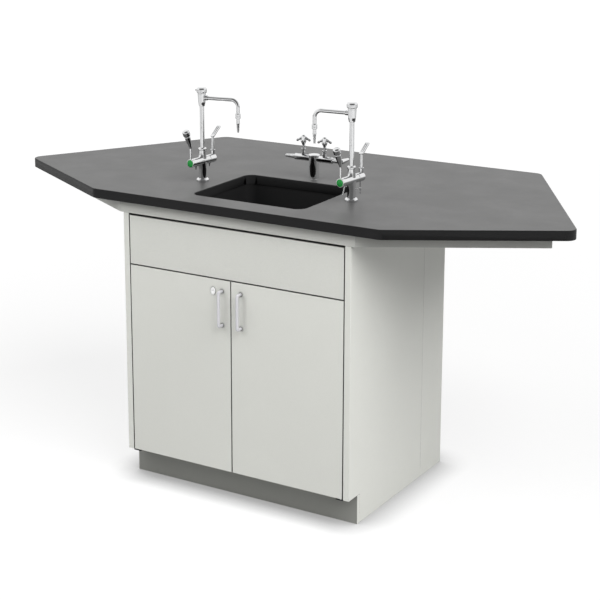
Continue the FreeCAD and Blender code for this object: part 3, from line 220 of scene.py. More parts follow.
def make_opening_wall_light():
    """Mask of the upright walls of the opening over the basin, which is centred across the unit; painted
    light is laid on them.
    """
    takes = {"Half Length": (NUMBER, 0.193), "Half Depth": (NUMBER, 0.1635), "Middle": (NUMBER, -0.189)}
    tree, given, out = new_group("painted light on opening walls", "ShaderNodeTree", takes, {"Mask": NUMBER})
    where = parts_of(tree, own_place(tree))
    from_middle = mathed(tree, "ABSOLUTE", mathed(tree, "SUBTRACT", where["Y"], given["Middle"]))
    in_length = mathed(tree, "LESS_THAN", mathed(tree, "ABSOLUTE", where["X"]), given["Half Length"])
    in_depth = mathed(tree, "LESS_THAN", from_middle, given["Half Depth"])
    upright = remapped(tree, mathed(tree, "ABSOLUTE", parts_of(tree, facing(tree))["Z"]), *UPRIGHT)
    inside = mathed(tree, "MULTIPLY", in_length, in_depth)
    tree.links.new(mathed(tree, "MULTIPLY", inside, upright), out["Mask"])
    return tree


FINE_GRAIN = make_fine_grain()
HAND_MARKS = make_hand_marks()
EDGE_WEAR_AND_HIGHLIGHT = make_edge_wear_and_highlight()
DUST_AND_SHEEN = make_dust_and_sheen()
PAINTED_JOINT_SHADE = make_painted_joint_shade()
OPENING_WALL_LIGHT = make_opening_wall_light()


# ------------------------------ finishes

LAMINATE_ROUGH = (0.4, 0.33)
PALEST = 0.94
CLEANED = 1.03
CLEANED_SHARE = 0.35
# How much lighter the painted edge highlight makes the laminate, and how strongly.
EDGE_HIGHLIGHT = 1.35
EDGE_HIGHLIGHT_SHARE = 0.9
# Darkness of the painted shade in gaps and under what stands out.
PAINTED_SHADE_SHARE = 0.12
RUBBED = 2.2
RUBBED_SHARE = 0.6
SIDEWAYS = (0.6, 0.9)
HANDLED = 0.75
WHOLE_MASK = (0.0, 1.0)
BRUSH_SCALE = 900.0
BRUSH_BAND = (0.35, 0.65)
BRUSH_ROUGH = 0.04


def effect(tree, group, **inputs):
    """One of the shared effects placed in a material."""
    item = put(tree, "ShaderNodeGroup", node_tree=group)
    for name, number in inputs.items():
        item.inputs[name.capitalize()].default_value = number
    return item.outputs


def tinted(tree, mask, under, over):
    """One colour or socket laid over another by a mask."""
    mix = put(tree, "ShaderNodeMix", data_type="RGBA")
    for socket, source in ((0, mask), (6, under), (7, over)):
        if isinstance(source, bpy.types.NodeSocket):
            tree.links.new(source, mix.inputs[socket])
        else:
            mix.inputs[socket].default_value = source if socket == 0 else (*source, 1.0)
    return mix.outputs[2]


def new_finish(name, **constants):
    """A material with its shader, whose constant values sit on the shader's own sockets."""
    material = bpy.data.materials.new(name)
    material.use_nodes = True
    tree = material.node_tree
    shader = tree.nodes["Principled BSDF"]
    for socket, constant in constants.items():
        shader.inputs[socket.replace("_", " ").title().replace("Ior", "IOR")].default_value = constant
    return material, tree, shader.inputs


def relief(tree, shader, height, depth, distance):
    """Bump from a height."""
    bump = put(tree, "ShaderNodeBump", {"Height": height, "Strength": depth, "Distance": distance})
    tree.links.new(bump.outputs["Normal"], shader["Normal"])


def scaled(colour, share):
    """A colour made darker or lighter, up to the palest."""
    return tuple(min(PALEST, part * share) for part in colour)


def laminate_finish(name, light, dark, joint_shade_reach=0.02, joint_shade_shut=0.5, cast_shade_reach=0.0, cast_shade=0.0,
                    ends=None):
    """Light grey laminate: faint mottling, fine pebble texture, edges lighter with a painted highlight and a
    little wear, painted shade in the gaps.

    Some boards also have painted shade cast by what stands out near them, or ends of another colour.
    """
    material, tree, shader = new_finish(name, specular_ior_level=0.45)
    marks = effect(tree, HAND_MARKS, size=0.16, spread=0.6)["Mask"]
    grain = effect(tree, FINE_GRAIN, size=0.0011, rough=0.55)
    edge = effect(tree, EDGE_WEAR_AND_HIGHLIGHT, width=0.0018, breakup=0.15)["Mask"]
    face = tinted(tree, grain["Mask"], dark, light)
    cleaned = tinted(tree, mathed(tree, "MULTIPLY", marks, CLEANED_SHARE), face, scaled(light, CLEANED))
    # Eased edges made lighter: a painted highlight, broken up a little like wear.
    highlit = tinted(tree, mathed(tree, "MULTIPLY", edge, EDGE_HIGHLIGHT_SHARE), cleaned, scaled(light, EDGE_HIGHLIGHT))
    # Painted shade in gaps and corners: darker where nearby surfaces close in.
    closed_in_shade = effect(tree, PAINTED_JOINT_SHADE, reach=joint_shade_reach, open=0.93, shut=joint_shade_shut)["Mask"]
    colour = tinted(tree, closed_in_shade, highlit, scaled(dark, PAINTED_SHADE_SHARE))
    # Painted shade cast on the board by what stands out near it, such as an overhang or a pull.
    if cast_shade:
        near = effect(tree, PAINTED_JOINT_SHADE, reach=cast_shade_reach, open=1.0, shut=0.6)["Mask"]
        colour = tinted(tree, mathed(tree, "MULTIPLY", near, cast_shade), colour, scaled(dark, PAINTED_SHADE_SHARE))
    if ends:
        sideways = remapped(tree, mathed(tree, "ABSOLUTE", parts_of(tree, facing(tree))["X"]), *SIDEWAYS)
        colour = tinted(tree, sideways, colour, ends)
    tree.links.new(colour, shader["Base Color"])
    tree.links.new(remapped(tree, marks, *WHOLE_MASK, *LAMINATE_ROUGH), shader["Roughness"])
    relief(tree, shader, grain["Height"], depth=0.06, distance=0.0004)
    return material


def resin_finish(name, deep, grey, rough_low, rough_high, dust_sheen_amount, sheen_film, opening_light):
    """Black epoxy resin: satin, faintly speckled, with painted light on the walls of the opening and thin
    dust with painted sheen on what faces up.
    """
    material, tree, shader = new_finish(name, ior=1.32)
    speck = effect(tree, FINE_GRAIN, size=0.0016, rough=0.6)
    marks = effect(tree, HAND_MARKS, size=0.11, spread=0.8)["Mask"]
    edge = effect(tree, EDGE_WEAR_AND_HIGHLIGHT, width=0.0016, breakup=0.3)["Mask"]
    face = tinted(tree, speck["Mask"], deep, grey)
    rubbed = tinted(tree, mathed(tree, "MULTIPLY", edge, RUBBED_SHARE), face, scaled(grey, RUBBED))
    # Painted light: the upright walls of the opening take a lighter colour.
    cut = tinted(tree, effect(tree, OPENING_WALL_LIGHT)["Mask"], rubbed, opening_light)
    # Thin dust with a painted sheen lightens what faces up.
    dust_and_sheen_colour = tinted(tree, effect(tree, DUST_AND_SHEEN, amount=dust_sheen_amount)["Mask"], cut, sheen_film)
    tree.links.new(dust_and_sheen_colour, shader["Base Color"])
    tree.links.new(remapped(tree, marks, *WHOLE_MASK, rough_high, rough_low), shader["Roughness"])
    relief(tree, shader, speck["Height"], depth=0.05, distance=0.0003)
    return material


def plated_finish(name, bright, dull, rough_low, rough_high, metallic=1.0):
    """Polished plate with faint finger marks."""
    material, tree, shader = new_finish(name, metallic=metallic)
    marks = effect(tree, HAND_MARKS, size=0.03, spread=0.6)["Mask"]
    tree.links.new(tinted(tree, marks, bright, dull), shader["Base Color"])
    tree.links.new(remapped(tree, marks, *WHOLE_MASK, rough_low, rough_high), shader["Roughness"])
    return material


def brushed_finish(name, bright, dull, rough, stretch, metallic=1.0, depth=0.08,
                   closed_in_shade=(0.05, 0.05, 0.05), joint_shade_reach=0.03, joint_shade_shut=0.7):
    """Metal brushed along one direction, with painted shade where it is closed in."""
    material, tree, shader = new_finish(name, metallic=metallic)
    run = put(tree, "ShaderNodeMapping", {"Vector": own_place(tree), "Scale": stretch}).outputs["Vector"]
    lines = noise_at(tree, run, BRUSH_SCALE, 2.0)
    mask = remapped(tree, lines, *BRUSH_BAND)
    # Painted shade: the colour goes to the shade colour where nearby surfaces close in.
    shut = effect(tree, PAINTED_JOINT_SHADE, reach=joint_shade_reach, open=0.9, shut=joint_shade_shut)["Mask"]
    tree.links.new(tinted(tree, shut, tinted(tree, mask, dull, bright), closed_in_shade), shader["Base Color"])
    roughness = remapped(tree, mask, *WHOLE_MASK, rough + BRUSH_ROUGH, rough - BRUSH_ROUGH)
    tree.links.new(roughness, shader["Roughness"])
    relief(tree, shader, lines, depth, distance=0.0002)
    return material


def moulded_finish(name, light, dark, rough, grain_size=0.0009, depth=0.05):
    """Moulded plastic with a fine texture, smoother where it is handled."""
    material, tree, shader = new_finish(name, ior=1.48)
    grain = effect(tree, FINE_GRAIN, size=grain_size, rough=0.5)
    marks = effect(tree, HAND_MARKS, size=0.04, spread=0.5)["Mask"]
    tree.links.new(tinted(tree, grain["Mask"], dark, light), shader["Base Color"])
    tree.links.new(remapped(tree, marks, *WHOLE_MASK, rough, rough * HANDLED), shader["Roughness"])
    relief(tree, shader, grain["Height"], depth, distance=0.0003)
    return material


FINISHES = {
    "laminate": laminate_finish("grey laminate", (0.728, 0.734, 0.69), (0.7, 0.706, 0.662)),
    # The doors: a slightly darker copy of the grey laminate, with painted shadow round the pulls.
    "door_painted_shadow": laminate_finish(
        "doors with painted pull shadows", (0.705, 0.711, 0.668), (0.68, 0.686, 0.643),
        joint_shade_reach=0.007, joint_shade_shut=0.68, cast_shade_reach=0.025, cast_shade=0.3),
    # The false front: a darker copy of the grey laminate, with painted shade under the worktop's overhang.
    "false_front_painted_shade": laminate_finish(
        "false front in painted shade", (0.69, 0.696, 0.654), (0.665, 0.671, 0.63),
        joint_shade_reach=0.007, joint_shade_shut=0.68, cast_shade_reach=0.3, cast_shade=0.85),
    # The aprons: a darker copy of the grey laminate, painted shade under the worktop's overhang.
    "apron_painted_shade": laminate_finish(
        "apron laminate", (0.6, 0.605, 0.57), (0.58, 0.585, 0.55), joint_shade_reach=0.05, joint_shade_shut=0.2),
    # The right chamfer apron: a still darker copy, deeper painted shade on that side.
    "mitred_laminate": laminate_finish(
        "right chamfer apron in deeper painted shade", (0.5, 0.505, 0.475), (0.48, 0.485, 0.455), joint_shade_reach=0.05, joint_shade_shut=0.2),
    # The toe board: the grey laminate painted dark as shade under the cabinet; its sideways ends keep the
    # plain laminate colour.
    "toe_laminate": laminate_finish(
        "toe board in painted shade", (0.262, 0.265, 0.245), (0.243, 0.246, 0.228), ends=(0.71, 0.716, 0.673)),
    # The worktop: painted light on the walls of its opening, thin dust with painted sheen on top.
    "epoxy_top": resin_finish(
        "black resin worktop", (0.006, 0.006, 0.0063), (0.009, 0.009, 0.0093), rough_low=0.36, rough_high=0.4,
        dust_sheen_amount=0.28, sheen_film=(0.32, 0.32, 0.315), opening_light=(0.021, 0.021, 0.0214)),
    # The basin: a little lighter than the worktop's resin, painted light on its shaded walls.
    "epoxy_basin": resin_finish(
        "black resin basin", (0.012, 0.012, 0.0123), (0.016, 0.016, 0.0163), rough_low=0.4, rough_high=0.5,
        dust_sheen_amount=0.1, sheen_film=(0.02, 0.02, 0.02), opening_light=(0.016, 0.016, 0.0163)),
    "black_plastic": moulded_finish(
        "black polypropylene", (0.03, 0.03, 0.03), (0.02, 0.02, 0.02), rough=0.5),
    "zinc_steel": brushed_finish(
        "zinc plated steel", (0.62, 0.63, 0.65), (0.5, 0.51, 0.52), rough=0.36, stretch=(1.0, 0.08, 1.0)),
    # The door pivots: a dark copy of the zinc steel, painted shade in the door gaps.
    "zinc_painted_shade": brushed_finish(
        "zinc steel in painted shade", (0.06, 0.06, 0.062), (0.045, 0.045, 0.047), rough=0.5, stretch=(1.0, 0.08, 1.0)),
    "white_plastic": moulded_finish("white nylon", (0.8, 0.8, 0.78), (0.74, 0.74, 0.72), rough=0.42),
    # The pulls: painted shade, a little darker than the metal, where they close in on the door.
    "satin_metal": brushed_finish(
        "satin aluminium", (0.69, 0.685, 0.72), (0.67, 0.665, 0.7), rough=0.22, stretch=(1.0, 1.0, 0.05),
        metallic=0.3, depth=0.01, closed_in_shade=(0.48, 0.48, 0.5), joint_shade_reach=0.012, joint_shade_shut=0.1),
    # The lock: painted nearly white, a painted highlight.
    "lock_metal": plated_finish(
        "lock metal with painted highlight", (0.97, 0.97, 0.97), (0.93, 0.93, 0.93),
        rough_low=0.12, rough_high=0.18, metallic=0.15),
    "brass_nut": brushed_finish(
        "plain brass", (0.72, 0.58, 0.3), (0.6, 0.47, 0.22), rough=0.32, stretch=(1.0, 1.0, 0.2)),
    "chrome": plated_finish(
        "polished chrome", (0.82, 0.825, 0.83), (0.77, 0.775, 0.78), rough_low=0.05, rough_high=0.12),
    "green_disc": moulded_finish(
        "green index enamel", (0.012, 0.3, 0.05), (0.01, 0.26, 0.042),
        rough=0.25, grain_size=0.002, depth=0.02),
}


# ------------------------------ finished copies of the frame's nodes


def settle(item, body, finish, replaced):
    """Give a new piece its finish, its body and the nodes that it stands for."""
    if item.name not in bpy.context.scene.collection.objects:
        bpy.context.scene.collection.objects.link(item)
    item.data.materials.clear()
    item.data.materials.append(finish)
    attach(item, body)
    if replaced:
        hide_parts(*replaced)


def mesh_of(work, name):
    """A mesh from a worked shape, which is let go."""
    mesh = bpy.data.meshes.new(name)
    work.to_mesh(mesh)
    work.free()
    return mesh


def shade_by_angle(mesh, degrees):
    """Smooth faces with crisp edges above an angle."""
    mesh.polygons.foreach_set("use_smooth", [True] * len(mesh.polygons))
    mesh.set_sharp_from_angle(angle=math.radians(degrees))


TINY = 1e-6
NEARLY_FLAT = 0.5
PANEL_CREASE = 32
FITTING_CREASE = 34
HEXAGON_CREASE = 25
# Boards with a finish of their own: painted shadow on the doors, painted shade on the false front, the right
# chamfer apron and the door pivots.
PANEL_FINISHES = {
    "left_door_panel": "door_painted_shadow", "right_door_panel": "door_painted_shadow", "false_front": "false_front_painted_shade",
    "apron_front_right": "mitred_laminate", "door_pivots": "zinc_painted_shade",
}


def dressed(node, piece, edge=0.0):
    """A merged and smoothly shaded copy of a node, with its edges eased."""
    mesh = nodes[node].data.copy()
    mesh.name = piece
    work = bmesh.new()
    work.from_mesh(mesh)
    bmesh.ops.remove_doubles(work, verts=work.verts, dist=TINY)
    if edge:
        flat = math.radians(NEARLY_FLAT)
        bmesh.ops.dissolve_limit(work, angle_limit=flat, verts=work.verts, edges=work.edges)
    work.to_mesh(mesh)
    work.free()
    item = bpy.data.objects.new(piece, mesh)
    shade_by_angle(mesh, PANEL_CREASE)
    slot = slot_of_node[node]
    # Apron boards take the darker apron copy: painted shade under the worktop.
    finish = FINISHES[PANEL_FINISHES.get(node, "apron_painted_shade" if node.startswith("apron") else slot)]
    settle(item, body_of_node[node], finish, [node])
    if node == "worktop":
        item.modifiers.new("flat faces stay flat", "WEIGHTED_NORMAL").keep_sharp = True
    if edge:
        ease = item.modifiers.new("eased edges", "BEVEL")
        ease.width = edge
        ease.segments = 2
        ease.limit_method = "ANGLE"
        ease.angle_limit = math.radians(PANEL_CREASE)


EASED = {
    "worktop": 0, "sink_basin": 0,
    "apron_front": 0.6, "apron_front_left": 0.6, "apron_front_right": 0.6,
    "apron_side_left": 0.6, "apron_side_right": 0.6, "apron_back": 0.6,
    "left_side_panel": 1.1, "right_side_panel": 1.1, "left_chase_panel": 1.1, "right_chase_panel": 1.1,
    "chase_back_panel": 0.7, "cabinet_floor": 0.5, "toe_board": 0.6, "inner_back_panel": 0.4,
    "false_front": 0, "front_top_rail": 0.5, "cross_rail": 0.3, "rear_rail": 0.5,
    "left_door_panel": 0, "right_door_panel": 0,
}
SMOOTHED = """sink_outlet sink_tailpiece sink_supports door_pivots door_catches lock_nuts
left_hinge_pins right_hinge_pins lock_housing lock_plug lock_cam""".split()

for node, edge in EASED.items():
    dressed(node, f"{node}_board", edge * MM)
for node in SMOOTHED:
    dressed(node, f"{node}_piece")


# ------------------------------ shapes drawn in millimetres

AROUND = 48
ROUND_STEPS = 4
ROUND_LEAD = 1.25
ROD_EASE = 0.3
KNOB_STEPS = 16
BEND_STEPS = 12
BEND_LEAD = 0.3
ANGLES = [2 * math.pi * step / AROUND for step in range(AROUND)]
HEX_CORNER = 1.13


def turn_about(axis, degrees):
    """A turn about one of the main axes."""
    return Matrix.Rotation(math.radians(degrees), 4, axis)


def at(x, y, z):
    """A place in the unit for a shape that is drawn in millimetres."""
    return Matrix.Translation((x, y, z)) @ Matrix.Scale(MM, 4)


def shift(x=0.0, y=0.0, z=0.0):
    """A shift in millimetres within a shape's own place."""
    return Matrix.Translation((x, y, z))


def rounded_rows(rows):
    """Rows of height, one or two half widths and a corner round, with the corners rounded off."""
    spots = []
    for row in rows:
        height, across, *more = row
        along = more[0] if len(more) == 2 else across
        spots.append((Vector((height, across, along)), more[-1] if more else 0.0))
    eased = [spots[0][0]]
    for (before, _), (spot, ease), (after, _) in zip(spots, spots[1:], spots[2:]):
        if not ease:
            eased.append(spot)
            continue
        back = (before - spot).normalized() * ease
        onward = (after - spot).normalized() * ease
        eased.append(spot + back * ROUND_LEAD)
        for step in range(ROUND_STEPS + 1):
            share = step / ROUND_STEPS
            eased.append(spot + back * (1 - share) ** 2 + onward * share ** 2)
        eased.append(spot + onward * ROUND_LEAD)
    return eased + [spots[-1][0]]


def skin(work, rings, closed=False):
    """Faces between rings of corners; a ring of one corner is a pole."""
    for low, high in zip(rings, rings[1:] + rings[:1] if closed else rings[1:]):
        for step in range(AROUND):
            ahead = (step + 1) % AROUND
            if len(low) == 1:
                work.faces.new((low[0], high[ahead], high[step]))
            elif len(high) == 1:
                work.faces.new((low[step], low[ahead], high[0]))
            else:
                work.faces.new((low[step], low[ahead], high[ahead], high[step]))


def hexagonal(angle):
    """How much further than its flat a hexagon reaches, with its corners taken off."""
    from_flat = math.fmod(angle, math.pi / 3) - math.pi / 6
    return min(1 / math.cos(from_flat), HEX_CORNER)


def turned(work, rows, place, reach=None, closed=False):
    """A shape turned about its own upright axis, or a hexagonal one."""
    rings = []
    for height, across, along in rounded_rows(rows):
        if max(across, along) < TINY:
            rings.append([work.verts.new(place @ Vector((0.0, 0.0, height)))])
            continue
        ring = []
        for angle in ANGLES:
            out = reach(angle) if reach else 1.0
            spot = Vector((across * out * math.cos(angle), along * out * math.sin(angle), height))
            ring.append(work.verts.new(place @ spot))
        rings.append(ring)
    skin(work, rings, closed)


def plain_rod(work, radius, low, high, place):
    """A rod with eased ends."""
    turned(work, [(low, 0), (low, radius, ROD_EASE), (high, radius, ROD_EASE), (high, 0)], place)


def knob(work, radius, place):
    """A small ball."""
    tilts = [math.pi * (step / KNOB_STEPS - 0.5) for step in range(1, KNOB_STEPS)]
    rows = [(radius * math.sin(tilt), radius * max(0.0, math.cos(tilt))) for tilt in tilts]
    turned(work, [(-radius, 0.0), *rows, (radius, 0.0)], place)


def bent_rod(work, corners, bend, radius, place):
    """A rod along square corners in its own XZ plane, with round bends and closed ends."""
    corners = [Vector((x, 0.0, z)) for x, z in corners]
    line = [(corners[0], (corners[1] - corners[0]).normalized())]
    for before, corner, after in zip(corners, corners[1:], corners[2:]):
        into = (corner - before).normalized()
        out = (after - corner).normalized()
        line.append((corner - into * (bend + BEND_LEAD), into))
        for step in range(BEND_STEPS + 1):
            angle = math.pi / 2 * step / BEND_STEPS
            spot = corner - into * bend + into * bend * math.sin(angle) + out * bend * (1 - math.cos(angle))
            line.append((spot, into * math.cos(angle) + out * math.sin(angle)))
        line.append((corner + out * (bend + BEND_LEAD), out))
    line.append((corners[-1], (corners[-1] - corners[-2]).normalized()))
    side = Vector((0.0, 1.0, 0.0))
    rings = [[work.verts.new(place @ line[0][0])]]
    for spot, heading in line:
        across = side.cross(heading)
        ring = [math.cos(angle) * across + math.sin(angle) * side for angle in ANGLES]
        rings.append([work.verts.new(place @ (spot + radius * out)) for out in ring])
    rings.append([work.verts.new(place @ line[-1][0])])
    skin(work, rings)


def socket_of(tree, name):
    """Identifier of a named input of a node tree."""
    return next(item.identifier for item in tree.interface.items_tree
                if item.name == name and item.in_out == "INPUT")


def plain_mesh(item):
    """The evaluated shape of an object as a plain mesh; the object is taken away."""
    bpy.context.scene.collection.objects.link(item)
    sight = bpy.context.evaluated_depsgraph_get()
    mesh = bpy.data.meshes.new_from_object(item.evaluated_get(sight), depsgraph=sight)
    item.modifiers.clear()
    bpy.data.objects.remove(item)
    return mesh


def copied(single, tree, **choices):
    """A small chrome shape repeated by a node tree."""
    item = bpy.data.objects.new("copies", mesh_of(single, "single"))
    row = item.modifiers.new("copies", "NODES")
    row.node_group = tree
    for name, choice in choices.items():
        row[socket_of(tree, name.capitalize())] = choice
    row[socket_of(tree, "Finish")] = FINISHES["chrome"]
    return plain_mesh(item)


def added(work, mesh, place):
    """A mesh placed in a shape."""
    mesh.transform(place)
    work.from_mesh(mesh)
    bpy.data.meshes.remove(mesh)


SHAPE = "NodeSocketGeometry"
WHOLE = "NodeSocketInt"
FINISH = "NodeSocketMaterial"


def finish_copies(tree, given, out, placed):
    """Last nodes of a tree of copies: made real, given the finish."""
    real = put(tree, "GeometryNodeRealizeInstances", {"Geometry": placed}).outputs[0]
    done = put(tree, "GeometryNodeSetMaterial", {"Geometry": real, "Material": given["Finish"]}).outputs[0]
    tree.links.new(done, out["Shape"])


def make_copies_round():
    """Node tree: equal copies round the upright axis."""
    takes = {"Shape": (SHAPE, None), "Count": (WHOLE, 4), "Start": (NUMBER, 0.0), "Finish": (FINISH, None)}
    tree, given, out = new_group("copies round an axis", "GeometryNodeTree", takes, {"Shape": SHAPE})
    spots = put(tree, "GeometryNodePoints", {"Count": given["Count"]}).outputs[0]
    number = put(tree, "GeometryNodeInputIndex").outputs[0]
    pitch = mathed(tree, "DIVIDE", 2 * math.pi, given["Count"])
    angle = mathed(tree, "ADD", mathed(tree, "MULTIPLY", number, pitch), given["Start"])
    turn = put(tree, "ShaderNodeCombineXYZ", {"Z": angle}).outputs[0]
    inputs = {"Points": spots, "Instance": given["Shape"], "Rotation": turn}
    finish_copies(tree, given, out, put(tree, "GeometryNodeInstanceOnPoints", inputs).outputs[0])
    return tree


def make_copies_along():
    """Node tree: copies in a row up the upright axis, each a little slimmer."""
    takes = {"Shape": (SHAPE, None), "Count": (WHOLE, 6), "Step": (NUMBER, 1.0), "Slimming": (NUMBER, 0.0),
             "Finish": (FINISH, None)}
    tree, given, out = new_group("copies along an axis", "GeometryNodeTree", takes, {"Shape": SHAPE})
    number = put(tree, "GeometryNodeInputIndex").outputs[0]
    height = mathed(tree, "MULTIPLY", number, given["Step"])
    where = put(tree, "ShaderNodeCombineXYZ", {"Z": height}).outputs[0]
    spots = put(tree, "GeometryNodePoints", {"Count": given["Count"], "Position": where}).outputs[0]
    slim = mathed(tree, "SUBTRACT", 1.0, mathed(tree, "MULTIPLY", number, given["Slimming"]))
    size = put(tree, "ShaderNodeCombineXYZ", {"X": slim, "Y": slim, "Z": 1.0}).outputs[0]
    inputs = {"Points": spots, "Instance": given["Shape"], "Scale": size}
    finish_copies(tree, given, out, put(tree, "GeometryNodeInstanceOnPoints", inputs).outputs[0])
    return tree


COPIES_ROUND = make_copies_round()
COPIES_ALONG = make_copies_along()


def finished(work, piece, body, slot, replaced=(), degrees=FITTING_CREASE):
    """A piece with its faces turned outward, its shading and its finish."""
    bmesh.ops.recalc_face_normals(work, faces=work.faces)
    mesh = mesh_of(work, piece)
    shade_by_angle(mesh, degrees)
    settle(bpy.data.objects.new(piece, mesh), body, FINISHES[slot], replaced)


def made(work, piece, node, degrees=FITTING_CREASE):
    """A finished piece that stands for a node."""
    finished(work, piece, body_of_node[node], slot_of_node[node], [node], degrees)


# ------------------------------ faucets

FAUCET_X = 0.254
FAUCET_Y = -0.184
WORKTOP_TOP = 0.889
FAUCET_TURN = -5.5
SPOUT_TURN = {"left": 9.0, "right": 184.0}
ALONG_BACK = turn_about("X", -90)
ALONG_FRONT = turn_about("X", 90)
ALONG_RIGHT = turn_about("Y", 90)
ALONG_LEFT = turn_about("Y", -90)
CROSS_HEIGHT = 63.0
SHANK = [(-70, 0), (-70, 10, 0.6)]
FLARE_STEPS = 8
FLARE_POWER = 2.2
STUD_Y = 32
PIN_Y = 45
LEANING_PIN_Z = 53.4
PIN_LEAN = 22
SIDE_KNOB_Z = 36
SIDE_KNOB_TURN = 38
TEETH = 6
TOOTH_ANGLE = 49
TOOTH_STEPS = 8
CAP_SCREW_Z = 277
CAP_SCREW_TURN = 212.0
VENT_Z = 237
VENT_TURN = -40.0
UNION_HEIGHT = 254
SPOUT_START = 9.4
SPOUT_REACH = 117
SPOUT_END_Z = 206.2
SPOUT_BEND = 21
SPOUT_RADIUS = 5.9
BARBS = 6
BARB_SLIMMING = 0.062
NOZZLE_BARB = 4.5
NOZZLE_BARB_Z = 184
LEVER_REACH = 54.8
GRIP_Z = 110
GRIP_LEAN = 22
DISC_RADIUS = 11.2
DISC_EDGE = 57.7
DOME_RISE = 1.5
DOME_STEPS = 8
BLADE_Y = 49
BLADE_Z = 131
BLADE_LEAN = 50
BLADE_HALF_THICKNESS = 1.25
BLADE_QUARTER = range(0, 91, 15)
BLADE_CORNERS = ((7.25, 41), (-7.25, 41), (-7.25, -4), (7.25, -4))
BLADE_ROUND = 3.2
BLADE_EASE = 0.35
SLOT_WIDTH = 2.2
SLOT_LOW = 4
SLOT_HIGH = 36
SLOT_X = 2.6
SLOT_STEPS = 8


def faucet_place(side, turn=FAUCET_TURN):
    """Place of a faucet on the worktop."""
    return at(-FAUCET_X if side == "left" else FAUCET_X, FAUCET_Y, WORKTOP_TOP) @ turn_about("Z", turn)


def spout_place(side):
    """Place of a faucet turned to the way that its spout points."""
    return faucet_place(side, SPOUT_TURN[side])


def swept_flare(low, high, low_half, high_half, width):
    """Rows of an oval flare that widens along the cross body in a hollow curve."""
    rows = []
    for step in range(FLARE_STEPS + 1):
        share = step / FLARE_STEPS
        bow = share ** FLARE_POWER if high_half > low_half else 1 - (1 - share) ** FLARE_POWER
        across = width[0] + (width[1] - width[0]) * share
        rows.append((low + (high - low) * share, across, low_half + (high_half - low_half) * bow, 0.0))
    return rows


def make_flanges():
    """Base flanges of both faucets."""
    work = bmesh.new()
    for side in ("left", "right"):
        rows = [(0, 12.05), (0, 18.8, 0.3), (6, 18.8, 0.7), (9, 16.8, 0.9), (9, 12.05)]
        turned(work, rows, faucet_place(side), closed=True)
    made(work, "faucet_flange_rings", "faucet_flanges")


def left_fittings(work, place):
    """Two studs under the left cross body."""
    for offset in (-STUD_Y, STUD_Y):
        below = place @ shift(y=offset)
        turned(work, [(40.4, 0), (40.4, 1.6, 0.3), (51, 3.1), (54, 3.1), (54, 0)], below)


def right_fittings(work, place):
    """Weighted pin and leaning pin under the right cross body, and a small knob on its column."""
    below = place @ shift(y=PIN_Y)
    plain_rod(work, 1.6, 30.4, 54, below)
    turned(work, [(13.4, 0), (13.4, 0.9, 0.2), (28.4, 2.9, 0.6), (30.4, 2.9, 0.6), (32.4, 1.6),
                  (32.4, 0)], below)
    leaning = place @ shift(y=-STUD_Y, z=LEANING_PIN_Z) @ turn_about("X", -PIN_LEAN)
    plain_rod(work, 1.6, -30, 0, leaning)
    beside = place @ shift(z=SIDE_KNOB_Z) @ turn_about("Z", SIDE_KNOB_TURN) @ ALONG_RIGHT
    plain_rod(work, 1.2, 8, 14.5, beside)
    knob(work, 1.9, beside @ shift(z=15.4))


def make_body(side):
    """Column, flares, cross body with its rear cap, riser boss and swivel nut, and what hangs from it."""
    work = bmesh.new()
    place = faucet_place(side)
    turned(work, SHANK + [(0.02, 10), (0.02, 12, 0.1), (33, 12)]
           + swept_flare(34, 62.9, 12.0, 22.0, (12.0, 12.3)) + [(62.9, 0)], place)
    turned(work, [(63, 0)] + swept_flare(63, 88, 20.0, 11.1, (11.1, 11.1))
           + [(91, 11.1), (95.2, 11.1), (95.2, 0)], place)
    turned(work, [(95, 0), (95, 11.8, 0.3), (96.2, 12.8, 0.5), (100.6, 12.8, 0.7), (102, 11.3, 0.6),
                  (102, 6.9), (79, 6.9), (79, 0)], place)
    cross = place @ shift(z=CROSS_HEIGHT) @ ALONG_BACK
    turned(work, [(-51, 0), (-51, 12.6, 0.5), (25.2, 12.6, 0.25), (25.6, 12.0), (26.2, 12.0),
                  (26.6, 12.9, 0.3), (52.5, 12.9, 1.6), (57.4, 9.1, 1.2), (57.4, 0)], cross)
    plain_rod(work, 8.0, -55, -50, cross)
    if side == "left":
        left_fittings(work, place)
    else:
        right_fittings(work, place)
    made(work, f"{side}_faucet_column", f"{side}_faucet_body")


def cap_tooth():
    """One broad tooth under the rim of a breaker cap."""
    tooth = bmesh.new()
    section = ((13.7, 269), (14.6, 269), (15.8, 271), (15.8, 272.7), (13.7, 272.7))
    slices = []
    for step in range(TOOTH_STEPS + 1):
        angle = math.radians(TOOTH_ANGLE * (step / TOOTH_STEPS - 0.5))
        slices.append([tooth.verts.new((out * math.cos(angle), out * math.sin(angle), height))
                       for out, height in section])
    for low, high in zip(slices, slices[1:]):
        for one in range(len(section)):
            two = (one + 1) % len(section)
            tooth.faces.new((low[one], low[two], high[two], high[one]))
    tooth.faces.new(reversed(slices[0]))
    tooth.faces.new(slices[-1])
    return tooth


def barbs(rows, pitch):
    """A row of barbs, each a little slimmer than the last."""
    barb = bmesh.new()
    turned(barb, rows, Matrix(), closed=True)
    return copied(barb, COPIES_ALONG, count=BARBS, step=pitch, slimming=BARB_SLIMMING)


def make_riser(side):
    """Riser pipe between the swivel nut and the vacuum breaker."""
    work = bmesh.new()
    place = spout_place(side)
    turned(work, [(79.3, 4.6), (79.3, 6.85, 0.3), (235, 6.85), (235, 4.6)], place, closed=True)
    made(work, f"{side}_riser_pipe", f"{side}_riser")


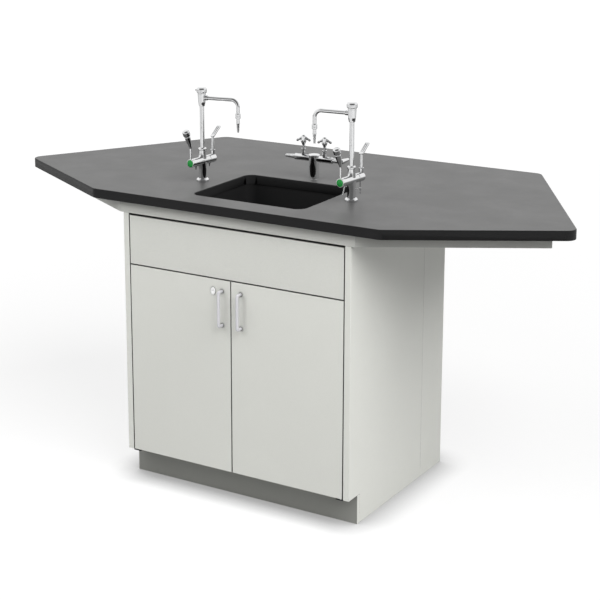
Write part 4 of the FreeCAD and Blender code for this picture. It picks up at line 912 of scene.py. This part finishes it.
def make_breaker(side):
    """Body of the vacuum breaker with the union that takes the spout."""
    work = bmesh.new()
    place = spout_place(side)
    turned(work, [(235, 0), (235, 6.9), (229, 6.9), (229, 9.2, 0.5), (241, 11.4, 1.0), (263, 12.4, 1.0),
                  (269, 12.4, 0.2), (269, 0)], place)
    union = place @ shift(z=UNION_HEIGHT) @ ALONG_RIGHT
    turned(work, [(8, 0), (8, 7.6), (15.4, 7.6, 0.4), (15.9, 6.9), (16.3, 6.9), (16.8, 7.6, 0.4),
                  (19.4, 7.6, 0.7), (19.4, 5.95), (9.2, 5.95), (9.2, 0)], union)
    made(work, f"{side}_breaker_shell", f"{side}_breaker_body")


def make_breaker_cap(side):
    """Notched cap of the vacuum breaker; the left one has a screw in its side."""
    work = bmesh.new()
    place = spout_place(side)
    turned(work, [(269, 0), (269, 13.8, 0.1), (272.6, 13.8), (272.6, 15.8, 0.2), (280, 15.8, 1.3),
                  (283.4, 14, 1.0), (285, 10.8, 1.2), (285, 0)], place)
    added(work, copied(cap_tooth(), COPIES_ROUND, count=TEETH, start=0.0), place)
    if side == "left":
        screw = faucet_place(side, CAP_SCREW_TURN) @ shift(z=CAP_SCREW_Z) @ ALONG_RIGHT
        turned(work, [(12, 0), (12, 1.2), (17.2, 1.2, 0.2), (17.6, 1.9, 0.3), (20.2, 1.9, 0.5),
                      (20.2, 0)], screw)
    made(work, f"{side}_breaker_cap_notched", f"{side}_breaker_cap")


def make_vent_plug(side):
    """Black plug in the side of the vacuum breaker."""
    work = bmesh.new()
    vent = faucet_place(side, VENT_TURN) @ shift(z=VENT_Z) @ ALONG_RIGHT
    turned(work, [(6, 0), (6, 4.4), (11.0, 4.4, 0.5), (11.9, 2.8, 0.6), (12.1, 0)], vent)
    finished(work, f"{side}_vent_plug", body_of_node[f"{side}_breaker_body"], "black_plastic")


def make_spout(side):
    """Bent spout pipe."""
    work = bmesh.new()
    path = [(SPOUT_START, UNION_HEIGHT), (SPOUT_REACH, UNION_HEIGHT), (SPOUT_REACH, SPOUT_END_Z)]
    bent_rod(work, path, SPOUT_BEND, SPOUT_RADIUS, spout_place(side))
    made(work, f"{side}_spout_pipe", f"{side}_spout_tube")


def make_nozzle(side):
    """Nozzle with its serrated hose end, at the end of the spout."""
    work = bmesh.new()
    outlet = spout_place(side) @ shift(x=SPOUT_REACH)
    turned(work, [(157.2, 2.0), (157.2, 2.9), (184, 4.4), (184, 6.4, 0.3), (186, 6.4, 0.3), (186, 5.3),
                  (198, 5.3), (199, 8.0, 0.4), (204.6, 8.0, 0.2), (205, 7.6), (205.6, 7.6), (206, 8.0, 0.2),
                  (212.5, 8.0, 0.6), (214, 6.6, 0.3), (214, 5.95), (206, 5.95), (206, 2.0)],
           outlet, closed=True)
    barb = [(0, 2.05), (0, 4.5), (1.7, 5.2, 0.2), (NOZZLE_BARB, 4.55), (NOZZLE_BARB, 2.05)]
    added(work, barbs(barb, NOZZLE_BARB), outlet @ shift(z=NOZZLE_BARB_Z) @ turn_about("X", 180))
    made(work, f"{side}_nozzle_serrated", f"{side}_nozzle")


def make_lever(side):
    """Ball lever: hub on the end of the cross body, rod and grip."""
    work = bmesh.new()
    place = faucet_place(side)
    turned(work, [(55.4, 0), (55.4, 8.1), (51.3, 8.1), (51.3, 12.9, 0.7), (58.2, 12.9, 0.9),
                  (58.2, 11.3, 0.1), (57.2, 11.3), (57.2, 0)], place @ shift(z=CROSS_HEIGHT) @ ALONG_FRONT)
    plain_rod(work, 2.7, 73.9, 109.5, place @ shift(y=-LEVER_REACH))
    grip = place @ shift(y=-LEVER_REACH, z=GRIP_Z) @ turn_about("X", GRIP_LEAN)
    turned(work, [(-3, 0), (-3, 2.7, 0.3), (0, 3.3, 0.6), (10, 5.0, 1.0), (24, 7.7, 2.0), (38.5, 8.7, 0.8),
                  (39.6, 7.7, 0.4), (41, 7.7), (41, 0)], grip)
    turned(work, [(40, 0), (40, 8.4, 0.5), (44, 10.9, 1.8), (57.2, 10.9, 2.6), (60.6, 6.6, 2.0),
                  (61.3, 0)], grip)
    made(work, f"{side}_ball_lever", f"{side}_front_lever")


def make_index_disc(side):
    """Plain green disc, slightly domed, in the face of the lever's hub."""
    work = bmesh.new()
    leans = [math.pi / 2 * step / DOME_STEPS for step in range(1, DOME_STEPS)]
    dome = [(DISC_EDGE + DOME_RISE * math.sin(lean), DISC_RADIUS * math.cos(lean)) for lean in leans]
    turned(work, [(57.25, 0), (57.25, DISC_RADIUS), *dome, (DISC_EDGE + DOME_RISE, 0)],
           faucet_place(side) @ shift(z=CROSS_HEIGHT) @ ALONG_FRONT)
    made(work, f"{side}_index_button", f"{side}_index_disc")


def slot_outline(x):
    """Corners of one long slot with round ends."""
    half = SLOT_WIDTH / 2
    angles = [math.pi * step / SLOT_STEPS for step in range(SLOT_STEPS + 1)]
    return ([(x + half * math.cos(angle), SLOT_HIGH - half + half * math.sin(angle)) for angle in angles]
            + [(x - half * math.cos(angle), SLOT_LOW + half - half * math.sin(angle)) for angle in angles])


def slotted_blade():
    """Flat blade with two long slots and rounded ends, standing on its own origin."""
    outer = []
    for quarter, (x, y) in enumerate(BLADE_CORNERS):
        across = x - math.copysign(BLADE_ROUND, x)
        along = y - math.copysign(BLADE_ROUND, y)
        for degrees in BLADE_QUARTER:
            angle = math.radians(90 * quarter + degrees)
            outer.append((across + BLADE_ROUND * math.cos(angle), along + BLADE_ROUND * math.sin(angle)))
    line = bpy.data.curves.new("blade", "CURVE")
    line.dimensions = "2D"
    line.fill_mode = "BOTH"
    line.extrude = BLADE_HALF_THICKNESS
    line.bevel_depth = BLADE_EASE
    line.offset = -BLADE_EASE
    line.bevel_resolution = 1
    for spots in (outer, slot_outline(-SLOT_X), slot_outline(SLOT_X)):
        run = line.splines.new("POLY")
        run.points.add(len(spots) - 1)
        for point, (x, y) in zip(run.points, spots):
            point.co = (x, y, 0.0, 1.0)
        run.use_cyclic_u = True
    return plain_mesh(bpy.data.objects.new("blade", line))


def make_blade(side):
    """Blade lever: tapered rod with a slotted blade that leans back."""
    work = bmesh.new()
    place = faucet_place(side) @ shift(y=BLADE_Y)
    turned(work, [(89.3, 0), (89.3, 5.0, 0.4), (127, 3.7), (130.5, 3.6, 1.2), (131.6, 0)], place)
    blade = place @ shift(z=BLADE_Z) @ turn_about("X", -BLADE_LEAN) @ turn_about("X", 90)
    added(work, slotted_blade(), blade)
    bmesh.ops.remove_doubles(work, verts=work.verts, dist=TINY)
    made(work, f"{side}_slotted_lever", f"{side}_blade_lever")


def make_blade_bonnets():
    """Fixed bonnets under the blade levers."""
    work = bmesh.new()
    for side in ("left", "right"):
        turned(work, [(70, 0), (70, 6.6), (86.6, 6.6, 0.2), (87.4, 7.3, 0.3), (89, 7.3, 0.4), (89, 0)],
               faucet_place(side) @ shift(y=BLADE_Y))
    made(work, "blade_bonnet_stems", "blade_bonnets")


# ------------------------------ gas turret

TURRET_X = 0.0145
TURRET_Y = 0.018
ARM_HEIGHT = 62.0
ARM_END = 66
GAS_X = 36.5
GAS_HANDLE_Z = 99.3
SPOKES = 4
SPOKE_TURN = 20
SPOKE_DROOP = 30
SPOKE_LENGTH = 18.5
SPOKE_WAIST = 0.6
SPOKE_Z = 26.4
SPOKE_BALL_X = 18.1
HOSE_BARB = 5.3
ELBOW_X = 96
ELBOW_LENGTH = 6.6


def turret_place(x=0.0):
    """Place on the gas turret."""
    return at(TURRET_X, TURRET_Y, WORKTOP_TOP) @ shift(x=x)


def make_turret_post():
    """Post with its flat top disc and the two hexagonal arms."""
    work = bmesh.new()
    turned(work, SHANK + [(0, 10), (0, 16.0), (1.6, 15.8, 0.4), (8, 15.7), (67.6, 15.7, 0.4), (70, 18.1, 0.6),
                          (73, 18.1, 0.6), (74.5, 16.7, 0.6), (74.5, 0)], turret_place())
    turned(work, [(-ARM_END, 0), (-ARM_END, 7.7, 0.2), (-64.6, 8.75, 0.5), (64.6, 8.75, 0.5),
                  (ARM_END, 7.7, 0.2), (ARM_END, 0)],
           turret_place() @ shift(z=ARM_HEIGHT) @ ALONG_RIGHT, hexagonal)
    made(work, "gas_turret_post", "gas_turret_body", HEXAGON_CREASE)


def make_gas_bonnets():
    """Valve bonnets with their rings."""
    work = bmesh.new()
    for offset in (-GAS_X, GAS_X):
        turned(work, [(67.8, 0), (67.8, 6.4), (85, 6.4, 0.3), (86, 7.3, 0.3), (90, 7.3, 0.3), (91, 5.2, 0.2),
                      (97, 5.2, 0.2), (98, 6.4, 0.2), (99, 6.4, 0.2), (99, 0)], turret_place(offset))
    made(work, "gas_bonnet_stems", "gas_bonnets")


def make_gas_handle(side):
    """Bell-shaped hub with four drooping arms that end in balls."""
    work = bmesh.new()
    place = turret_place(-GAS_X if side == "left" else GAS_X) @ shift(z=GAS_HANDLE_Z)
    turned(work, [(0, 0), (0, 4.0, 0.3), (3, 4.6, 0.5), (7, 6.4, 1.2), (11.5, 8.6, 1.0), (16, 8.6, 1.0),
                  (18, 7.9, 0.5), (27.5, 7.05, 1.6), (31, 4.9, 1.2), (32, 3.4, 0.4), (32, 0)], place)
    arm = bmesh.new()
    droop = math.radians(SPOKE_DROOP)
    length = SPOKE_LENGTH / math.cos(droop)
    turned(arm, [(0, 0), (0, 5.4), (length * SPOKE_WAIST, 4.0), (length, 3.2), (length, 0)],
           shift(z=SPOKE_Z) @ turn_about("Y", 90 + SPOKE_DROOP))
    knob(arm, 4.4, shift(x=SPOKE_BALL_X, z=SPOKE_Z - SPOKE_BALL_X * math.tan(droop)))
    added(work, copied(arm, COPIES_ROUND, count=SPOKES, start=math.radians(SPOKE_TURN)), place)
    made(work, f"{side}_gas_handle_spokes", f"{side}_gas_handle")


def make_hose_ends():
    """Serrated hose ends: a straight one on the left arm and an angled one on the right."""
    work = bmesh.new()
    straight = turret_place(-ARM_END) @ shift(z=ARM_HEIGHT) @ ALONG_LEFT
    elbow = turret_place(ELBOW_X) @ shift(z=ARM_HEIGHT) @ ALONG_BACK
    angled = turret_place(ELBOW_X) @ shift(y=ELBOW_LENGTH, z=ARM_HEIGHT) @ ALONG_BACK
    for place in (straight, angled):
        turned(work, [(0, 2.6), (0, 7.0, 0.2), (1.2, 6.8), (30, 4.3), (32, 4.0, 0.4), (32, 2.6)],
               place, closed=True)
        barb = [(0, 2.65), (0, 6.5), (2.0, 7.2, 0.3), (HOSE_BARB, 6.6), (HOSE_BARB, 2.65)]
        added(work, barbs(barb, HOSE_BARB), place)
    inlet = turret_place(ARM_END) @ shift(z=ARM_HEIGHT) @ ALONG_RIGHT
    reach = ELBOW_X - ARM_END
    turned(work, [(0, 0), (0, 7.0, 0.4), (reach, 7.0), (reach, 0)], inlet)
    knob(work, 7.6, inlet @ shift(z=reach))
    turned(work, [(0, 0), (0, 7.0), (ELBOW_LENGTH, 7.0, 0.3), (ELBOW_LENGTH, 0)], elbow)
    made(work, "hose_end_pair", "hose_ends")


# ------------------------------ door pulls

PULL_X = {"left": -0.0367, "right": 0.0263}
PULL_Z = 0.5855
DOOR_FACE = -0.414
PULL_HALF = 50.8
PULL_REACH = 19.6
PULL_BEND = 5
PULL_RADIUS = 4.4


def make_pull(side):
    """Bent rod pull with its two legs on the door."""
    work = bmesh.new()
    outward = at(PULL_X[side], DOOR_FACE, PULL_Z) @ turn_about("Z", -90)
    path = [(0, -PULL_HALF), (PULL_REACH, -PULL_HALF), (PULL_REACH, PULL_HALF), (0, PULL_HALF)]
    bent_rod(work, path, PULL_BEND, PULL_RADIUS, outward)
    made(work, f"{side}_door_pull", f"{side}_pull")


make_flanges()
for side in ("left", "right"):
    make_body(side)
    make_riser(side)
    make_breaker(side)
    make_breaker_cap(side)
    make_vent_plug(side)
    make_spout(side)
    make_nozzle(side)
    make_lever(side)
    make_index_disc(side)
    make_blade(side)
    make_gas_handle(side)
    make_pull(side)
make_blade_bonnets()
make_turret_post()
make_gas_bonnets()
make_hose_ends()


# ------------------------------ studio

EVEN_LIGHT = 0.1
SOFTBOX_SIZE = 6.0
SOFTBOX_REACH = 8.0
SOFTBOX_AIM = Vector((0.0, 0.0, 0.6))
RIGHT_BEARING = -25.0
RIGHT_RISE = 46.0
RIGHT_WATTS = 740.0
LEFT_BEARING = -135.0
LEFT_RISE = 41.0
LEFT_WATTS = 392.0
ROOM_FACING = (0.398, -0.68, 0.616)
ROOM_EDGE = (0.45, 0.75)
ROOM_LIGHT = 0.16
FLOOR_SIZE = 60.0
FLOOR_BOUNCE = 0.56
FLOOR_PAINT = 0.6
FLOOR_GLOW = (1.24, 1.9)
FLOOR_GLOW_REACH = (1.5, 12.0)
FLOOR_GLOW_SHARE = 0.63
# Reach and strength of the painted contact shadow in the floor's glow.
PAINTED_CONTACT_SHADOW_REACH = 0.11
PAINTED_CONTACT_SHADOW = (0.45, 0.985, 0.34, 1.0)
FLOOR_MIRRORED_SHARE = 0.22
WHITE = (1.0, 1.0, 1.0, 1.0)


def seen_rays(tree):
    """Masks of the rays that see the background: straight from the camera, and by way of metal or glass."""
    path = put(tree, "ShaderNodeLightPath").outputs
    return path["Is Camera Ray"], mathed(tree, "MAXIMUM", path["Is Glossy Ray"], path["Is Transmission Ray"])


def make_floor():
    """Pale floor that runs to the horizon and holds the unit's shadow; its glow is dimmed near the unit as a
    painted contact shadow.
    """
    work = bmesh.new()
    bmesh.ops.create_grid(work, x_segments=1, y_segments=1, size=FLOOR_SIZE)
    floor = bpy.data.objects.new("floor", mesh_of(work, "floor"))
    bpy.context.scene.collection.objects.link(floor)
    material = bpy.data.materials.new("pale floor")
    material.use_nodes = True
    tree = material.node_tree
    tree.nodes.remove(tree.nodes["Principled BSDF"])
    straight, mirrored = seen_rays(tree)
    paint = tinted(tree, straight, (FLOOR_BOUNCE,) * 3, (FLOOR_PAINT,) * 3)
    matt = put(tree, "ShaderNodeBsdfDiffuse", {"Color": paint}).outputs[0]
    far = put(tree, "ShaderNodeVectorMath", {0: own_place(tree)}, operation="LENGTH").outputs["Value"]
    # Painted contact shadow: the glow is dimmed where nearby occlusion is strong.
    covered = put(tree, "ShaderNodeAmbientOcclusion", {"Distance": PAINTED_CONTACT_SHADOW_REACH}, samples=16)
    contact_shadow = remapped(tree, covered.outputs["AO"], *PAINTED_CONTACT_SHADOW)
    strength = mathed(tree, "MULTIPLY", remapped(tree, far, *FLOOR_GLOW_REACH, *FLOOR_GLOW), contact_shadow)
    glow = put(tree, "ShaderNodeEmission", {"Color": WHITE, "Strength": strength}).outputs[0]
    share = mathed(tree, "MULTIPLY", straight, FLOOR_GLOW_SHARE)
    share = mathed(tree, "ADD", share, mathed(tree, "MULTIPLY", mirrored, FLOOR_MIRRORED_SHARE))
    mix = put(tree, "ShaderNodeMixShader", {0: share, 1: matt, 2: glow})
    tree.links.new(mix.outputs[0], tree.nodes["Material Output"].inputs["Surface"])
    floor.data.materials.append(material)


def make_world():
    """Low even light all round; where it is seen it is white, and metal also shows a darker room in front."""
    world = bpy.data.worlds.new("studio")
    world.use_nodes = True
    tree = world.node_tree
    direction = put(tree, "ShaderNodeTexCoord").outputs["Generated"]
    light = tree.nodes["Background"]
    light.inputs["Color"].default_value = WHITE
    light.inputs["Strength"].default_value = EVEN_LIGHT
    toward = put(tree, "ShaderNodeVectorMath", {0: direction, 1: ROOM_FACING}, operation="DOT_PRODUCT")
    mirrored_white = remapped(tree, toward.outputs["Value"], *ROOM_EDGE, 1.0, ROOM_LIGHT)
    straight, mirrored = seen_rays(tree)
    strength = mathed(tree, "MAXIMUM", straight, mirrored_white)
    seen_white = put(tree, "ShaderNodeBackground", {"Color": WHITE, "Strength": strength}).outputs[0]
    seen = mathed(tree, "MAXIMUM", straight, mirrored)
    mix = put(tree, "ShaderNodeMixShader", {0: seen, 1: light.outputs[0], 2: seen_white})
    tree.links.new(mix.outputs[0], tree.nodes["World Output"].inputs["Surface"])
    bpy.context.scene.world = world


def hang_softbox(name, bearing, rise, watts):
    """A large square lamp on a wide ring round the unit, aimed at its middle; it isn't seen in metal."""
    data = bpy.data.lights.new(name, "AREA")
    data.shape = "SQUARE"
    data.size = SOFTBOX_SIZE
    data.energy = watts
    item = bpy.data.objects.new(name, data)
    level = math.radians(bearing)
    rise = math.radians(rise)
    away = Vector((math.cos(level) * math.cos(rise), math.sin(level) * math.cos(rise), math.sin(rise)))
    turn = (-away).to_track_quat("-Z", "Y").to_matrix().to_4x4()
    item.matrix_world = Matrix.Translation(SOFTBOX_AIM + away * SOFTBOX_REACH) @ turn
    item.visible_glossy = False
    bpy.context.scene.collection.objects.link(item)


make_floor()
make_world()
hang_softbox("right softbox", RIGHT_BEARING, RIGHT_RISE, RIGHT_WATTS)
hang_softbox("left softbox", LEFT_BEARING, LEFT_RISE, LEFT_WATTS)

# ------------------------------ camera

VIEW_YAW = math.radians(32.185)
VIEW_PITCH = math.radians(13.34)
VIEW_ROLL = math.radians(-0.248)
FOCAL_PIXELS = 1590.28
IMAGE_PIXELS = 600
SENSOR_MM = 36.0
PRINCIPAL_PIXEL = (255.0, 200.0)
VIEW_FROM = Vector((2.363, -4.0482, 1.9357))
VIEW_FAR = 200.0


def make_camera():
    """Camera at the viewing angle, framed by a small shift."""
    data = bpy.data.cameras.new("camera")
    data.sensor_width = SENSOR_MM
    data.lens = FOCAL_PIXELS * SENSOR_MM / IMAGE_PIXELS
    data.shift_x = (IMAGE_PIXELS / 2 - PRINCIPAL_PIXEL[0]) / IMAGE_PIXELS
    data.shift_y = (PRINCIPAL_PIXEL[1] - IMAGE_PIXELS / 2) / IMAGE_PIXELS
    data.clip_end = VIEW_FAR
    item = bpy.data.objects.new("camera", data)
    ahead = Vector((
        -math.sin(VIEW_YAW) * math.cos(VIEW_PITCH),
        math.cos(VIEW_YAW) * math.cos(VIEW_PITCH),
        -math.sin(VIEW_PITCH),
    ))
    level = Vector((math.cos(VIEW_YAW), math.sin(VIEW_YAW), 0.0))
    upward = level.cross(ahead)
    right = math.cos(VIEW_ROLL) * level + math.sin(VIEW_ROLL) * upward
    up = math.cos(VIEW_ROLL) * upward - math.sin(VIEW_ROLL) * level
    turn = Matrix((right, up, -ahead)).transposed().to_4x4()
    item.matrix_world = Matrix.Translation(VIEW_FROM) @ turn
    bpy.context.scene.collection.objects.link(item)
    bpy.context.scene.camera = item


make_camera()
bpy.context.scene.view_settings.view_transform = "Standard"
